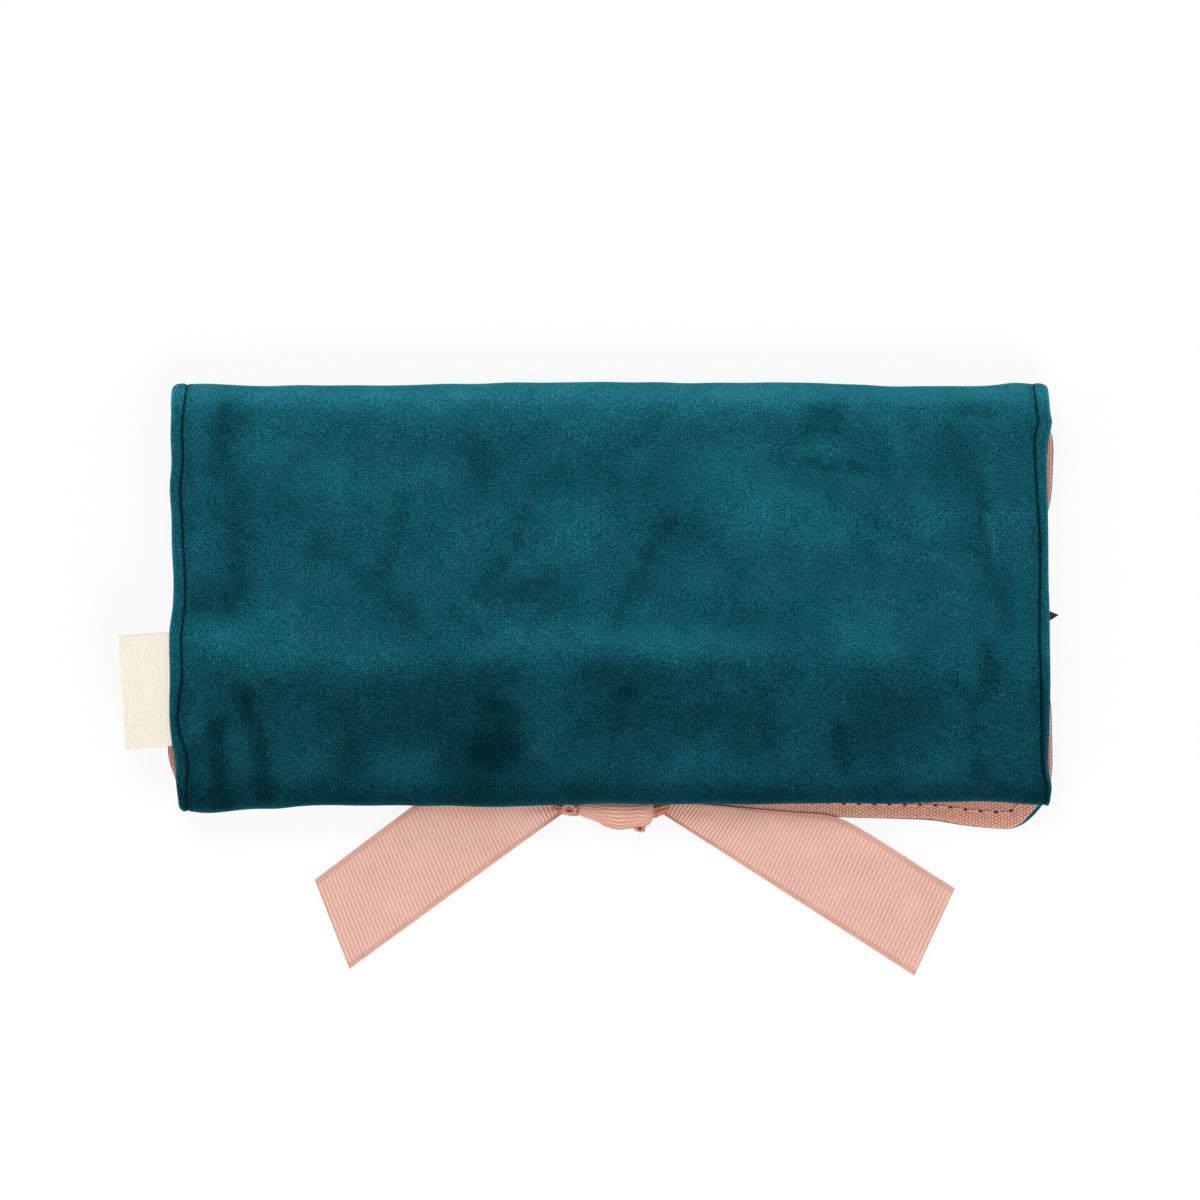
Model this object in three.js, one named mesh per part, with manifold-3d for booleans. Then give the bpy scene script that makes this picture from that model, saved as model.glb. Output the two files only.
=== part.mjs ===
// A padded velvet jewelry roll, folded in three and tied shut with a ribbon.
// Millimetres, Z up. X runs along the roll and Y from its tied edge to its top fold.
// It lies on its flap with the back panel up. The origin is on the flap's underside.
import * as THREE from 'three';
import { mergeVertices } from 'three/addons/utils/BufferGeometryUtils.js';
import Module from 'manifold-3d';

const wasm = await Module();
wasm.setup();

// Cloth layers of a panel, from its outer face inward
const velvetThickness = 0.8;
const waddingThickness = 1.3;
const liningThickness = 0.6;
const layerGap = 0.2;
const hemRecess = 0.2;
const edgeRound = 1.1;
const stitchInset = 2.4;
const grooveWidth = 0.8;
const grooveDepth = 0.3;

// The folded roll
const rollWidth = 210.4;
const rollDepth = 101;
const foldGap = 0.6;
const flapToInnerRoom = 1;

// The flap, measured from the line of the bottom fold to its slanting free edge
const flapSideReach = 1;
const flapShortLeft = 1.2;
const flapKinkX = 30;
const flapPastKink = 0.5;
const flapPastRight = 6.9;
const flapLeftRadius = 7;
const flapRightRadius = 12;

// The short inner panel
const innerSideInset = 1.2;
const innerPanelReach = 46.5;
const innerCornerRadius = 6;
const slipPocketSideInset = 14;
const slipPocketLength = 28;
const slipPocketInset = 8;
const slipPocketSeam = 3;
const slipPocketRoom = 0.3;
const slipPocketCloth = 0.4;

// The ring bar on the flap's lining
const barDiameter = 9;
const barLength = 106;
const barFromInner = 5.5;
const barCloth = 0.6;
const barEndRound = 1.2;
const barHeadroom = 0.6;
const barRestGap = 0.4;
const barTabLength = 4;
const barTabWidth = 8;
const barTabEdge = 1;
const barTabGap = 0.1;
const anchorLength = 8;
const anchorWidth = 12;
const anchorThickness = 0.8;
const anchorGap = 1.3;
const strapWidth = 10;
const strapThickness = 0.6;
const strapDrop = 4;
const strapFlat = 10;
const studBaseRadius = 4;
const studBaseThickness = 0.5;
const studPostRadius = 1.3;
const studPostHeight = 1;
const studSocketRadius = 3.6;
const studSocketBore = 1.7;
const studSocketThickness = 1;
const studLift = 0.4;
const studCapRadius = 4.2;
const studCapHeight = 1.1;
const studCapRim = 0.4;

// The zip pocket on the back panel's lining
const pocketSideInset = 4.2;
const pocketRoom = 1.7;
const pocketCloth = 0.5;
const pocketSeam = 1.5;
const pocketTopInset = 3.3;
const pocketBottomInset = 2.8;
const zipY = -5.2;
const zipWindow = 9;
const tapeWidth = 7;
const tapeThickness = 0.5;
const teethStartInset = 14.9;
const teethEndInset = 9;
const toothPitch = 2.5;
const toothHeight = 1.2;
const toothDrop = 0.4;
const toothTipY = 0.55;
const toothHeadY = 1.05;
const toothRootY = 1.75;
const beadY = 2.6;
const toothRootHalf = 0.42;
const toothHeadHalf = 0.72;
const toothTipHalf = 0.45;
const stopLength = 2;
const stopGap = 0.3;
const stopHeight = 1.7;
const stopDrop = 0.65;

// The slider and its pull
const sliderLength = 8;
const sliderWideHalf = 3.4;
const sliderNarrowHalf = 3;
const sliderRound = 1;
const sliderPlate = 0.9;
const sliderBackPlate = 0.4;
const sliderGap = 0.3;
const sliderBackGap = 0.25;
const sliderPostHalf = 0.3;
const sliderPostLength = 2;
const sliderPostInset = 0.8;
const sliderPark = 0.6;
const flangeInner = 2.85;
const flangeThickness = 0.4;
const flangeRise = 0.5;
const flangeLength = 6;
const bailInset = 1.6;
const bailLength = 4.8;
const bailWall = 0.9;
const bailBar = 0.6;
const bailRoom = 0.9;
const bailHalf = 0.5;
const ringWire = 0.8;
const ringThickness = 0.5;
const ringInnerHalf = 1.6;
const ringReach = 6.8;
const tagLoopRadius = 1.05;
const tagLoopBore = 0.6;
const tagThickness = 1.1;
const tagHalf = 1.3;
const tagLength = 9.3;
const tagPoint = 2.5;
const tagPointRise = 0.3;

// The label sewn into the left seam
const labelGap = 0.3;
const labelReachTop = 12.7;
const labelReachBottom = 11.1;
const labelTopY = -9.4;
const labelHeight = 27.4;
const labelTilt = 0.8;
const labelThickness = 0.7;

// The ribbon tie
const ribbonWidth = 22.4;
const ribbonThickness = 0.5;
const knotRadius = 3.4;
const knotWidth = 18;
const knotX = 1.2;
const knotGap = 0.3;
const knotCoreLength = 25;
const knotCoreGap = 0.3;
const knotCoreBulge = 2.6;
const wrapLayerGap = 0.3;
const wrapEndDrop = 0.4;
const wrapTurnShare = 1.12;
const wrapTuck = 8;
const tieRootWidth = 8.3;
const tieRootThickness = 0.4;
const tieRootReach = 14;
const tieSplit = 0.8;
const innerTieLength = 17;
const tieLeadLength = 7.4;
const tieEndGap = 0.3;

// Ribbon tails, from the knot to the cut end, on the photographed plan
const tailKnotGap = 0.9;
const tailRootWidth = 3;
const tailRootThickness = 1.2;
const tailRootRise = 2;
const tailRootShare = 1 / 3;
const tailTableGap = 0.1;
const tailDrape = 9;
const tailDrapeStart = 1;
const leftTail = {
  side: -1,
  lowerEnd: [62.5, 39.1],
  upperEnd: [70.9, 17.5],
  upperEntry: [47.6, 0.3],
  neckOuter: [8, 4.2],
};
const rightTail = {
  side: 1,
  lowerEnd: [73.1, 40.8],
  upperEnd: [82.7, 19.7],
  upperEntry: [52.5, 0.9],
  neckOuter: [8, 4.2],
};

// Facet counts
const cornerSteps = 4;
const foldSteps = 12;
const roundSides = 16;
const wrapSteps = 22;
const tailStrips = 4;
const tailSteps = 6;

// One overrun serves every cut
const overrun = 2;

// Sizes that follow from those above
const panelThickness = velvetThickness + waddingThickness + liningThickness + 2 * layerGap;
const pocketStack = pocketRoom + pocketCloth;
const rollThickness = 2 * panelThickness + pocketStack + barDiameter + barHeadroom + barRestGap;
const topRadius = rollThickness / 2;
const innerOuterZ = panelThickness + flapToInnerRoom;
const bottomRadius = (rollThickness - innerOuterZ) / 2;
const flapWidth = rollWidth + 2 * flapSideReach;
const innerPanelWidth = rollWidth - 2 * innerSideInset;
const pocketWidth = rollWidth - 2 * pocketSideInset;
const teethStartX = teethStartInset - rollWidth / 2;
const teethEndX = rollWidth / 2 - teethEndInset;
const topFoldY = rollDepth / 2;
const bottomFoldY = -rollDepth / 2;
const topFold = { y: topFoldY - topRadius, z: topRadius, radius: topRadius, side: 1 };
const bottomFold = {
  y: bottomFoldY + bottomRadius,
  z: rollThickness - bottomRadius,
  radius: bottomRadius,
  side: -1,
};
const backInnerZ = rollThickness - panelThickness;
const layerInset = velvetThickness + layerGap;
const waddingDepth = velvetThickness + layerGap;
const liningDepth = panelThickness - liningThickness;

// Materials
function cloth(color, roughness) {
  return new THREE.MeshStandardMaterial({ color, roughness, metalness: 0 });
}
function metal(color, roughness) {
  return new THREE.MeshStandardMaterial({ color, roughness, metalness: 1 });
}
const finishes = {
  velvet: () => cloth(0x114c5a, 0.85),
  wadding: () => cloth(0xf1eee6, 0.95),
  canvas: () => cloth(0xaa7a6c, 0.9),
  ribbon: () => cloth(0xe3b4a4, 0.7),
  knot: () => cloth(0xcb9d8f, 0.7),
  label: () => cloth(0xf9efde, 0.9),
  tape: () => cloth(0x1d1b1c, 0.85),
  leather: () => cloth(0x17130f, 0.5),
  brass: () => metal(0xc9a765, 0.35),
};

// Boolean solids
function toSolid(geometry) {
  const bare = geometry.clone();
  bare.deleteAttribute('normal');
  bare.deleteAttribute('uv');
  const merged = mergeVertices(bare);
  const index = merged.index.array;
  const mesh = new wasm.Mesh({
    numProp: 3,
    vertProperties: new Float32Array(merged.attributes.position.array),
    triVerts: new Uint32Array(index),
  });
  return new wasm.Manifold(mesh);
}

function toGeometry(solid) {
  const mesh = solid.getMesh();
  const geometry = new THREE.BufferGeometry();
  geometry.setAttribute('position', new THREE.BufferAttribute(mesh.vertProperties, 3));
  geometry.setIndex(new THREE.BufferAttribute(mesh.triVerts, 1));
  geometry.computeVertexNormals();
  return geometry;
}

// Outlines. Corners run anticlockwise seen from above, and each edge moves inward by its own distance.
function moveEdges(corners, moves) {
  const count = corners.length;
  const lines = corners.map((corner, i) => {
    const next = corners[(i + 1) % count];
    const along = new THREE.Vector2().subVectors(next, corner).normalize();
    const inward = new THREE.Vector2(-along.y, along.x);
    return { point: corner.clone().addScaledVector(inward, moves[i]), along };
  });
  return corners.map((_, i) => {
    const before = lines[(i + count - 1) % count];
    const after = lines[i];
    const gap = new THREE.Vector2().subVectors(after.point, before.point);
    const reach = gap.cross(after.along) / before.along.cross(after.along);
    return before.point.clone().addScaledVector(before.along, reach);
  });
}

function roundCorners(corners, radii) {
  const count = corners.length;
  const points = [];
  corners.forEach((corner, i) => {
    const radius = radii[i];
    if (radius <= 0) {
      points.push(corner);
      return;
    }
    const before = corners[(i + count - 1) % count];
    const after = corners[(i + 1) % count];
    const back = new THREE.Vector2().subVectors(before, corner).normalize();
    const ahead = new THREE.Vector2().subVectors(after, corner).normalize();
    const half = Math.acos(THREE.MathUtils.clamp(back.dot(ahead), -1, 1)) / 2;
    const middle = back.clone().add(ahead).normalize();
    const centre = corner.clone().addScaledVector(middle, radius / Math.sin(half));
    const from = corner.clone().addScaledVector(back, radius / Math.tan(half)).sub(centre);
    const turn = Math.PI - 2 * half;
    for (let step = 0; step <= cornerSteps; step += 1) {
      const arm = from.clone().rotateAround(new THREE.Vector2(), (turn * step) / cornerSteps);
      points.push(centre.clone().add(arm));
    }
  });
  return points;
}

function panelOutline(panel, inset, foldMove) {
  const moves = panel.folds.map((isFold) => (isFold ? foldMove : inset));
  const radii = panel.radii.map((radius) => (radius > 0 ? Math.max(radius - inset, 0) : 0));
  return roundCorners(moveEdges(panel.corners, moves), radii);
}

function rectangle(x0, y0, x1, y1) {
  return [
    new THREE.Vector2(x0, y0),
    new THREE.Vector2(x1, y0),
    new THREE.Vector2(x1, y1),
    new THREE.Vector2(x0, y1),
  ];
}

// Prisms
function prism(outline, z0, z1) {
  const low = Math.min(z0, z1);
  const depth = Math.abs(z1 - z0);
  const geometry = new THREE.ExtrudeGeometry(new THREE.Shape(outline), { depth, bevelEnabled: false });
  return geometry.translate(0, 0, low);
}

function roundedPrism(outline, z0, z1, round) {
  const low = Math.min(z0, z1);
  const depth = Math.abs(z1 - z0) - 2 * round;
  const geometry = new THREE.ExtrudeGeometry(new THREE.Shape(outline), {
    depth,
    bevelThickness: round,
    bevelSize: round,
    bevelOffset: -round,
    bevelSegments: 3,
  });
  return geometry.translate(0, 0, low + round);
}

// A profile in X and Z, extruded along Y
function sideProfile(outline, y0, y1) {
  const depth = y1 - y0;
  const geometry = new THREE.ExtrudeGeometry(new THREE.Shape(outline), { depth, bevelEnabled: false });
  return geometry.rotateX(Math.PI / 2).translate(0, y1, 0);
}

// Rings of points joined into one closed skin, capped at both ends
function loft(rings, section) {
  const size = section.length;
  const positions = rings.flatMap((ring) => ring.flatMap((point) => [point.x, point.y, point.z]));
  const faces = [];
  for (let ring = 0; ring < rings.length - 1; ring += 1) {
    for (let i = 0; i < size; i += 1) {
      const next = (i + 1) % size;
      const a = ring * size + i;
      const b = ring * size + next;
      faces.push([a, b, b + size], [a, b + size, a + size]);
    }
  }
  const last = (rings.length - 1) * size;
  THREE.ShapeUtils.triangulateShape(section, []).forEach(([a, b, c]) => {
    faces.push([c, b, a], [last + a, last + b, last + c]);
  });
  const corner = (index) => new THREE.Vector3().fromArray(positions, 3 * index);
  const volume = faces.reduce((sum, [a, b, c]) => sum + corner(a).dot(corner(b).cross(corner(c))), 0);
  const outward = volume > 0 ? faces : faces.map(([a, b, c]) => [a, c, b]);
  const geometry = new THREE.BufferGeometry();
  geometry.setAttribute('position', new THREE.Float32BufferAttribute(positions, 3));
  geometry.setIndex(outward.flat());
  geometry.computeVertexNormals();
  return geometry;
}

// Panels
function panelShell(panel) {
  const { outerZ, inward } = panel;
  const at = (depth) => outerZ + inward * depth;
  const rim = panelThickness - hemRecess;
  const outer = panelOutline(panel, 0, -overrun);
  const blank = toSolid(roundedPrism(outer, outerZ, at(rim + overrun), edgeRound));
  const keep = toSolid(prism(panelOutline(panel, -overrun, 0), at(-overrun), at(rim)));
  const hollow = toSolid(
    prism(panelOutline(panel, velvetThickness, -overrun), at(velvetThickness), at(rim + overrun)),
  );
  const nearSide = panelOutline(panel, stitchInset - grooveWidth / 2, -overrun);
  const farSide = panelOutline(panel, stitchInset + grooveWidth / 2, -2 * overrun);
  const near = toSolid(prism(nearSide, at(-overrun), at(grooveDepth)));
  const far = toSolid(prism(farSide, at(-2 * overrun), at(grooveDepth + overrun)));
  const groove = near.subtract(far);
  return toGeometry(blank.intersect(keep).subtract(hollow).subtract(groove));
}

function panelLayer(panel, depth, thickness) {
  const { outerZ, inward } = panel;
  const outline = panelOutline(panel, layerInset, 0);
  return prism(outline, outerZ + inward * depth, outerZ + inward * (depth + thickness));
}

// Fold strips: half rings round the fold's centre, with the panel's own section
function foldRing(fold, section) {
  const rings = [];
  for (let step = 0; step <= foldSteps; step += 1) {
    const angle = Math.PI * (step / foldSteps - 1 / 2);
    rings.push(section.map(({ x, y: depth }) => {
      const reach = fold.radius - depth;
      const y = fold.y + fold.side * reach * Math.cos(angle);
      return new THREE.Vector3(x, y, fold.z + reach * Math.sin(angle));
    }));
  }
  return loft(rings, section);
}

function velvetSection(halfWidth) {
  const rim = panelThickness - hemRecess;
  const stitch = halfWidth - stitchInset;
  const half = [
    [stitch - grooveWidth / 2, 0],
    [stitch - grooveWidth / 2, grooveDepth],
    [stitch + grooveWidth / 2, grooveDepth],
    [stitch + grooveWidth / 2, 0],
  ];
  for (let step = 0; step <= cornerSteps; step += 1) {
    const angle = (Math.PI / 2) * (step / cornerSteps);
    half.push([
      halfWidth - edgeRound + edgeRound * Math.sin(angle),
      edgeRound - edgeRound * Math.cos(angle),
    ]);
  }
  half.push([halfWidth, rim]);
  half.push([halfWidth - velvetThickness, rim]);
  half.push([halfWidth - velvetThickness, velvetThickness]);
  const right = half.map(([x, depth]) => new THREE.Vector2(x, depth));
  const left = half.map(([x, depth]) => new THREE.Vector2(-x, depth)).reverse();
  return [...right, ...left];
}

function layerSection(halfWidth, depth, thickness) {
  return rectangle(-halfWidth + layerInset, depth, halfWidth - layerInset, depth + thickness);
}

// Named meshes
const roll = new THREE.Group();
const bodies = {};
function addPiece(body, name, geometry, finish) {
  if (!bodies[body]) {
    bodies[body] = new THREE.Group();
    roll.add(bodies[body]);
  }
  const mesh = new THREE.Mesh(geometry, finishes[finish]());
  mesh.name = name;
  bodies[body].add(mesh);
}

// The three panels
const corner = (x, y) => new THREE.Vector2(x, y);
const flapPanel = {
  corners: [
    corner(-flapWidth / 2, bottomFoldY + flapShortLeft),
    corner(flapKinkX, bottomFoldY - flapPastKink),
    corner(flapWidth / 2, bottomFoldY - flapPastRight),
    corner(flapWidth / 2, topFold.y - foldGap),
    corner(-flapWidth / 2, topFold.y - foldGap),
  ],
  folds: [false, false, false, true, false],
  radii: [flapLeftRadius, 0, flapRightRadius, 0, 0],
  outerZ: 0,
  inward: 1,
};
const backPanel = {
  corners: rectangle(-rollWidth / 2, bottomFold.y + foldGap, rollWidth / 2, topFold.y - foldGap),
  folds: [true, false, true, false],
  radii: [0, 0, 0, 0],
  outerZ: rollThickness,
  inward: -1,
};
const innerFreeY = bottomFoldY + innerPanelReach;
const innerPanel = {
  corners: rectangle(-innerPanelWidth / 2, bottomFold.y + foldGap, innerPanelWidth / 2, innerFreeY),
  folds: [true, false, false, false],
  radii: [0, 0, innerCornerRadius, innerCornerRadius],
  outerZ: innerOuterZ,
  inward: 1,
};
const panels = { flap: flapPanel, back: backPanel, inner: innerPanel };
for (const [name, panel] of Object.entries(panels)) {
  addPiece(name, `${name}_velvet`, panelShell(panel), 'velvet');
  addPiece(name, `${name}_wadding`, panelLayer(panel, waddingDepth, waddingThickness), 'wadding');
  addPiece(name, `${name}_lining`, panelLayer(panel, liningDepth, liningThickness), 'canvas');
}

// The two folds
const folds = { top_fold: topFold, bottom_fold: bottomFold };
for (const [name, fold] of Object.entries(folds)) {
  const halfWidth = rollWidth / 2;
  addPiece(name, `${name}_velvet`, foldRing(fold, velvetSection(halfWidth)), 'velvet');
  const wadding = layerSection(halfWidth, waddingDepth, waddingThickness);
  addPiece(name, `${name}_wadding`, foldRing(fold, wadding), 'wadding');
  const lining = layerSection(halfWidth, liningDepth, liningThickness);
  addPiece(name, `${name}_lining`, foldRing(fold, lining), 'canvas');
}

// The inner panel's slip pocket opens toward its free edge
function slipPocket() {
  const low = innerOuterZ + panelThickness;
  const top = low + slipPocketRoom + slipPocketCloth;
  const y1 = innerFreeY - slipPocketInset;
  const y0 = y1 - slipPocketLength;
  const half = innerPanelWidth / 2 - slipPocketSideInset;
  const blank = toSolid(prism(rectangle(-half, y0, half, y1), low, top));
  const roomHalf = half - slipPocketSeam;
  const room = rectangle(-roomHalf, y0 + slipPocketSeam, roomHalf, y1 + overrun);
  return toGeometry(blank.subtract(toSolid(prism(room, low - overrun, low + slipPocketRoom))));
}
addPiece('inner', 'inner_slip_pocket', slipPocket(), 'canvas');

// The ring bar, sewn down at its left end and closed by a press stud at its right end
const barRadius = barDiameter / 2;
const barY = innerFreeY + barFromInner + barRadius;
const barZ = panelThickness + barRestGap + barRadius;
const barLeft = -barLength / 2;
const barRight = barLength / 2;
function barCover() {
  const inner = barRadius - barCloth;
  const profile = [
    [0, barRight - barCloth],
    [inner, barRight - barCloth],
    [inner, barLeft],
    [barRadius, barLeft],
  ];
  for (let step = 0; step <= cornerSteps; step += 1) {
    const angle = (Math.PI / 2) * (step / cornerSteps);
    profile.push([
      barRadius - barEndRound + barEndRound * Math.cos(angle),
      barRight - barEndRound + barEndRound * Math.sin(angle),
    ]);
  }
  profile.push([0, barRight]);
  const points = profile.map(([radius, along]) => new THREE.Vector2(radius, along));
  const geometry = new THREE.LatheGeometry(points, roundSides);
  return geometry.rotateZ(-Math.PI / 2).translate(0, barY, barZ);
}
function barFilling() {
  const radius = barRadius - barCloth - layerGap;
  const length = barLength - barCloth - layerGap;
  const geometry = new THREE.CylinderGeometry(radius, radius, length, roundSides);
  return geometry.rotateZ(Math.PI / 2).translate(barLeft + length / 2, barY, barZ);
}
function barTab() {
  const low = barZ - barRadius + barTabGap;
  const right = barLeft - barTabGap;
  const left = right - barTabLength;
  const profile = [
    corner(left, low),
    corner(right, low),
    corner(right, barZ + barRadius - barTabEdge),
    corner(left, low + barTabEdge),
  ];
  return sideProfile(profile, barY - barTabWidth / 2, barY + barTabWidth / 2);
}
const studZ = panelThickness + studBaseThickness + studLift;
const strapZ = studZ + studSocketThickness;
const strapStart = barRight + layerGap;
const strapBend = strapStart + strapDrop;
const strapEnd = strapBend + strapFlat;
const studX = strapBend + strapFlat / 2;
function barStrap() {
  const profile = [
    corner(strapStart, barZ - strapThickness),
    corner(strapBend, strapZ),
    corner(strapEnd, strapZ),
    corner(strapEnd, strapZ + strapThickness),
    corner(strapBend + strapThickness / 2, strapZ + strapThickness),
    corner(strapStart, barZ + strapThickness / 2),
  ];
  return sideProfile(profile, barY - strapWidth / 2, barY + strapWidth / 2);
}
function turned(profile, x, y, z) {
  const points = profile.map(([radius, height]) => new THREE.Vector2(radius, height));
  const geometry = new THREE.LatheGeometry(points, roundSides);
  return geometry.rotateX(Math.PI / 2).translate(x, y, z);
}
const studBase = [
  [0, 0],
  [studBaseRadius, 0],
  [studBaseRadius, studBaseThickness],
  [studPostRadius, studBaseThickness],
  [studPostRadius, studBaseThickness + studPostHeight],
  [0, studBaseThickness + studPostHeight],
];
const studSocket = [
  [studSocketBore, 0],
  [studSocketRadius, 0],
  [studSocketRadius, studSocketThickness],
  [studSocketBore, studSocketThickness],
  [studSocketBore, 0],
];
const studCap = [
  [0, 0],
  [studCapRadius, 0],
  [studCapRadius, studCapRim],
  [studCapRadius - studCapRim, studCapHeight - studCapRim / 2],
  [studCapRadius / 2, studCapHeight],
  [0, studCapHeight],
];
const anchorRight = barLeft - barTabGap - barTabLength - anchorGap;
const anchorOutline = rectangle(
  anchorRight - anchorLength,
  barY - anchorWidth / 2,
  anchorRight,
  barY + anchorWidth / 2,
);
const anchor = prism(anchorOutline, panelThickness, panelThickness + anchorThickness);
addPiece('flap', 'ring_bar_anchor', anchor, 'canvas');
addPiece('flap', 'press_stud_base', turned(studBase, studX, barY, panelThickness), 'brass');
addPiece('ring_bar', 'ring_bar_cover', barCover(), 'velvet');
addPiece('ring_bar', 'ring_bar_filling', barFilling(), 'wadding');
addPiece('ring_bar', 'ring_bar_tab', barTab(), 'velvet');
addPiece('ring_bar', 'ring_bar_strap', barStrap(), 'canvas');
addPiece('ring_bar', 'press_stud_socket', turned(studSocket, studX, barY, studZ), 'brass');
addPiece('ring_bar', 'press_stud_cap', turned(studCap, studX, barY, strapZ + strapThickness), 'brass');

// The zip pocket: two cloth panels with a seam rim on three sides and the zip between them
const pocketFaceZ = backInnerZ - pocketStack;
const pocketInnerZ = pocketFaceZ + pocketCloth;
function pocketPanel(y0, y1, openSide) {
  const half = pocketWidth / 2;
  const blank = toSolid(prism(rectangle(-half, y0, half, y1), pocketFaceZ, backInnerZ));
  const roomLow = openSide < 0 ? y0 - overrun : y0 + pocketSeam;
  const roomHigh = openSide > 0 ? y1 + overrun : y1 - pocketSeam;
  const room = rectangle(-half + pocketSeam, roomLow, half - pocketSeam, roomHigh);
  return toGeometry(blank.subtract(toSolid(prism(room, pocketInnerZ, backInnerZ + overrun))));
}
const pocketTopY = topFold.y - foldGap - pocketTopInset;
const pocketBottomY = bottomFold.y + foldGap + pocketBottomInset;
addPiece('back', 'pocket_upper_panel', pocketPanel(zipY + zipWindow / 2, pocketTopY, -1), 'canvas');
addPiece('back', 'pocket_lower_panel', pocketPanel(pocketBottomY, zipY - zipWindow / 2, 1), 'canvas');

// The zip: tape, bead and teeth on each side of a slot that lets the slider's post through
const toothCount = Math.floor((teethEndX - teethStartX) / toothPitch) - 1;
const tapeHalf = pocketWidth / 2 - pocketSeam - layerGap;
const toothLow = pocketInnerZ - toothDrop;
function inOrder(a, b) {
  return [Math.min(a, b), Math.max(a, b)];
}
function zipTape(side) {
  const [y0, y1] = inOrder(zipY + side * beadY, zipY + side * (beadY + tapeWidth));
  return prism(rectangle(-tapeHalf, y0, tapeHalf, y1), pocketInnerZ, pocketInnerZ + tapeThickness);
}
function toothRow(side) {
  const shift = side > 0 ? toothPitch / 2 : toothPitch;
  const points = [corner(teethEndX, toothRootY), corner(teethEndX, beadY), corner(teethStartX, beadY)];
  points.push(corner(teethStartX, toothRootY));
  for (let i = 0; i < toothCount; i += 1) {
    const x = teethStartX + shift + i * toothPitch;
    points.push(corner(x - toothRootHalf, toothRootY));
    points.push(corner(x - toothHeadHalf, toothHeadY));
    points.push(corner(x - toothTipHalf, toothTipY));
    points.push(corner(x + toothTipHalf, toothTipY));
    points.push(corner(x + toothHeadHalf, toothHeadY));
    points.push(corner(x + toothRootHalf, toothRootY));
  }
  const outline = points.map((point) => corner(point.x, zipY + side * point.y));
  return prism(outline, toothLow, toothLow + toothHeight);
}
function zipStop(x0, y0, y1) {
  const low = pocketInnerZ - stopDrop;
  return prism(rectangle(x0, zipY + y0, x0 + stopLength, zipY + y1), low, low + stopHeight);
}
const topStopX = teethEndX + stopGap;
const bottomStopX = teethStartX - stopGap - stopLength;
const stopInner = toothTipY;
const stopOuter = beadY - layerGap / 2;
addPiece('back', 'zip_tape_upper', zipTape(1), 'tape');
addPiece('back', 'zip_tape_lower', zipTape(-1), 'tape');
addPiece('back', 'zip_teeth_upper', toothRow(1), 'brass');
addPiece('back', 'zip_teeth_lower', toothRow(-1), 'brass');
addPiece('back', 'zip_top_stop_upper', zipStop(topStopX, stopInner, stopOuter), 'brass');
addPiece('back', 'zip_top_stop_lower', zipStop(topStopX, -stopOuter, -stopInner), 'brass');
addPiece('back', 'zip_bottom_stop', zipStop(bottomStopX, -stopOuter, stopOuter), 'brass');

// The slider: two plates round the teeth, a post in the slot and a bail for the pull
const sliderRight = teethEndX - sliderPark + stopGap;
const sliderLeft = sliderRight - sliderLength;
const frontPlateTop = toothLow - sliderGap;
const frontPlateLow = frontPlateTop - sliderPlate;
const backPlateLow = toothLow + toothHeight + sliderBackGap;
function sliderOutline() {
  const corners = [
    corner(sliderLeft, zipY - sliderNarrowHalf),
    corner(sliderRight, zipY - sliderWideHalf),
    corner(sliderRight, zipY + sliderWideHalf),
    corner(sliderLeft, zipY + sliderNarrowHalf),
  ];
  return roundCorners(corners, corners.map(() => sliderRound));
}
function slider() {
  const outline = sliderOutline();
  const postRight = sliderRight - sliderPostInset;
  const postLeft = postRight - sliderPostLength;
  const post = rectangle(postLeft, zipY - sliderPostHalf, postRight, zipY + sliderPostHalf);
  const plateMiddle = (frontPlateLow + frontPlateTop) / 2;
  const parts = [
    prism(outline, backPlateLow, backPlateLow + sliderBackPlate),
    prism(post, plateMiddle, backPlateLow + sliderBackPlate / 2),
  ];
  const flangeLeft = (sliderLeft + sliderRight - flangeLength) / 2;
  [-1, 1].forEach((side) => {
    const flangeOuter = flangeInner + flangeThickness;
    const [y0, y1] = inOrder(zipY + side * flangeInner, zipY + side * flangeOuter);
    const flange = rectangle(flangeLeft, y0, flangeLeft + flangeLength, y1);
    parts.push(prism(flange, plateMiddle, frontPlateTop + flangeRise));
  });
  const bailLow = frontPlateLow - bailRoom - bailBar;
  const bail = [
    corner(bailLeft, plateMiddle),
    corner(bailLeft, bailLow + bailBar / 2),
    corner(bailLeft + bailWall / 2, bailLow),
    corner(bailLeft + bailLength - bailWall / 2, bailLow),
    corner(bailLeft + bailLength, bailLow + bailBar / 2),
    corner(bailLeft + bailLength, plateMiddle),
    corner(bailLeft + bailLength - bailWall, plateMiddle),
    corner(bailLeft + bailLength - bailWall, bailLow + bailBar),
    corner(bailLeft + bailWall, bailLow + bailBar),
    corner(bailLeft + bailWall, plateMiddle),
  ];
  parts.push(sideProfile(bail, zipY - bailHalf, zipY + bailHalf));
  const front = toSolid(prism(outline, frontPlateLow, frontPlateTop));
  return toGeometry(parts.reduce((solid, part) => solid.add(toSolid(part)), front));
}
const bailLeft = sliderLeft + bailInset;
const pullX = bailLeft + bailLength / 2;
const pullZ = frontPlateLow - bailRoom / 2;
const tagX = pullX + ringReach;
function pullRing() {
  const half = ringWire / 2;
  const outer = rectangle(
    pullX - half,
    zipY - ringInnerHalf - ringWire,
    tagX + half,
    zipY + ringInnerHalf + ringWire,
  );
  const hole = rectangle(pullX + half, zipY - ringInnerHalf, tagX - half, zipY + ringInnerHalf);
  const shape = new THREE.Shape(roundCorners(outer, outer.map(() => half)));
  shape.holes.push(new THREE.Path(hole.reverse()));
  const geometry = new THREE.ExtrudeGeometry(shape, { depth: ringThickness, bevelEnabled: false });
  return geometry.translate(0, 0, pullZ - ringThickness / 2);
}
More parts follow.
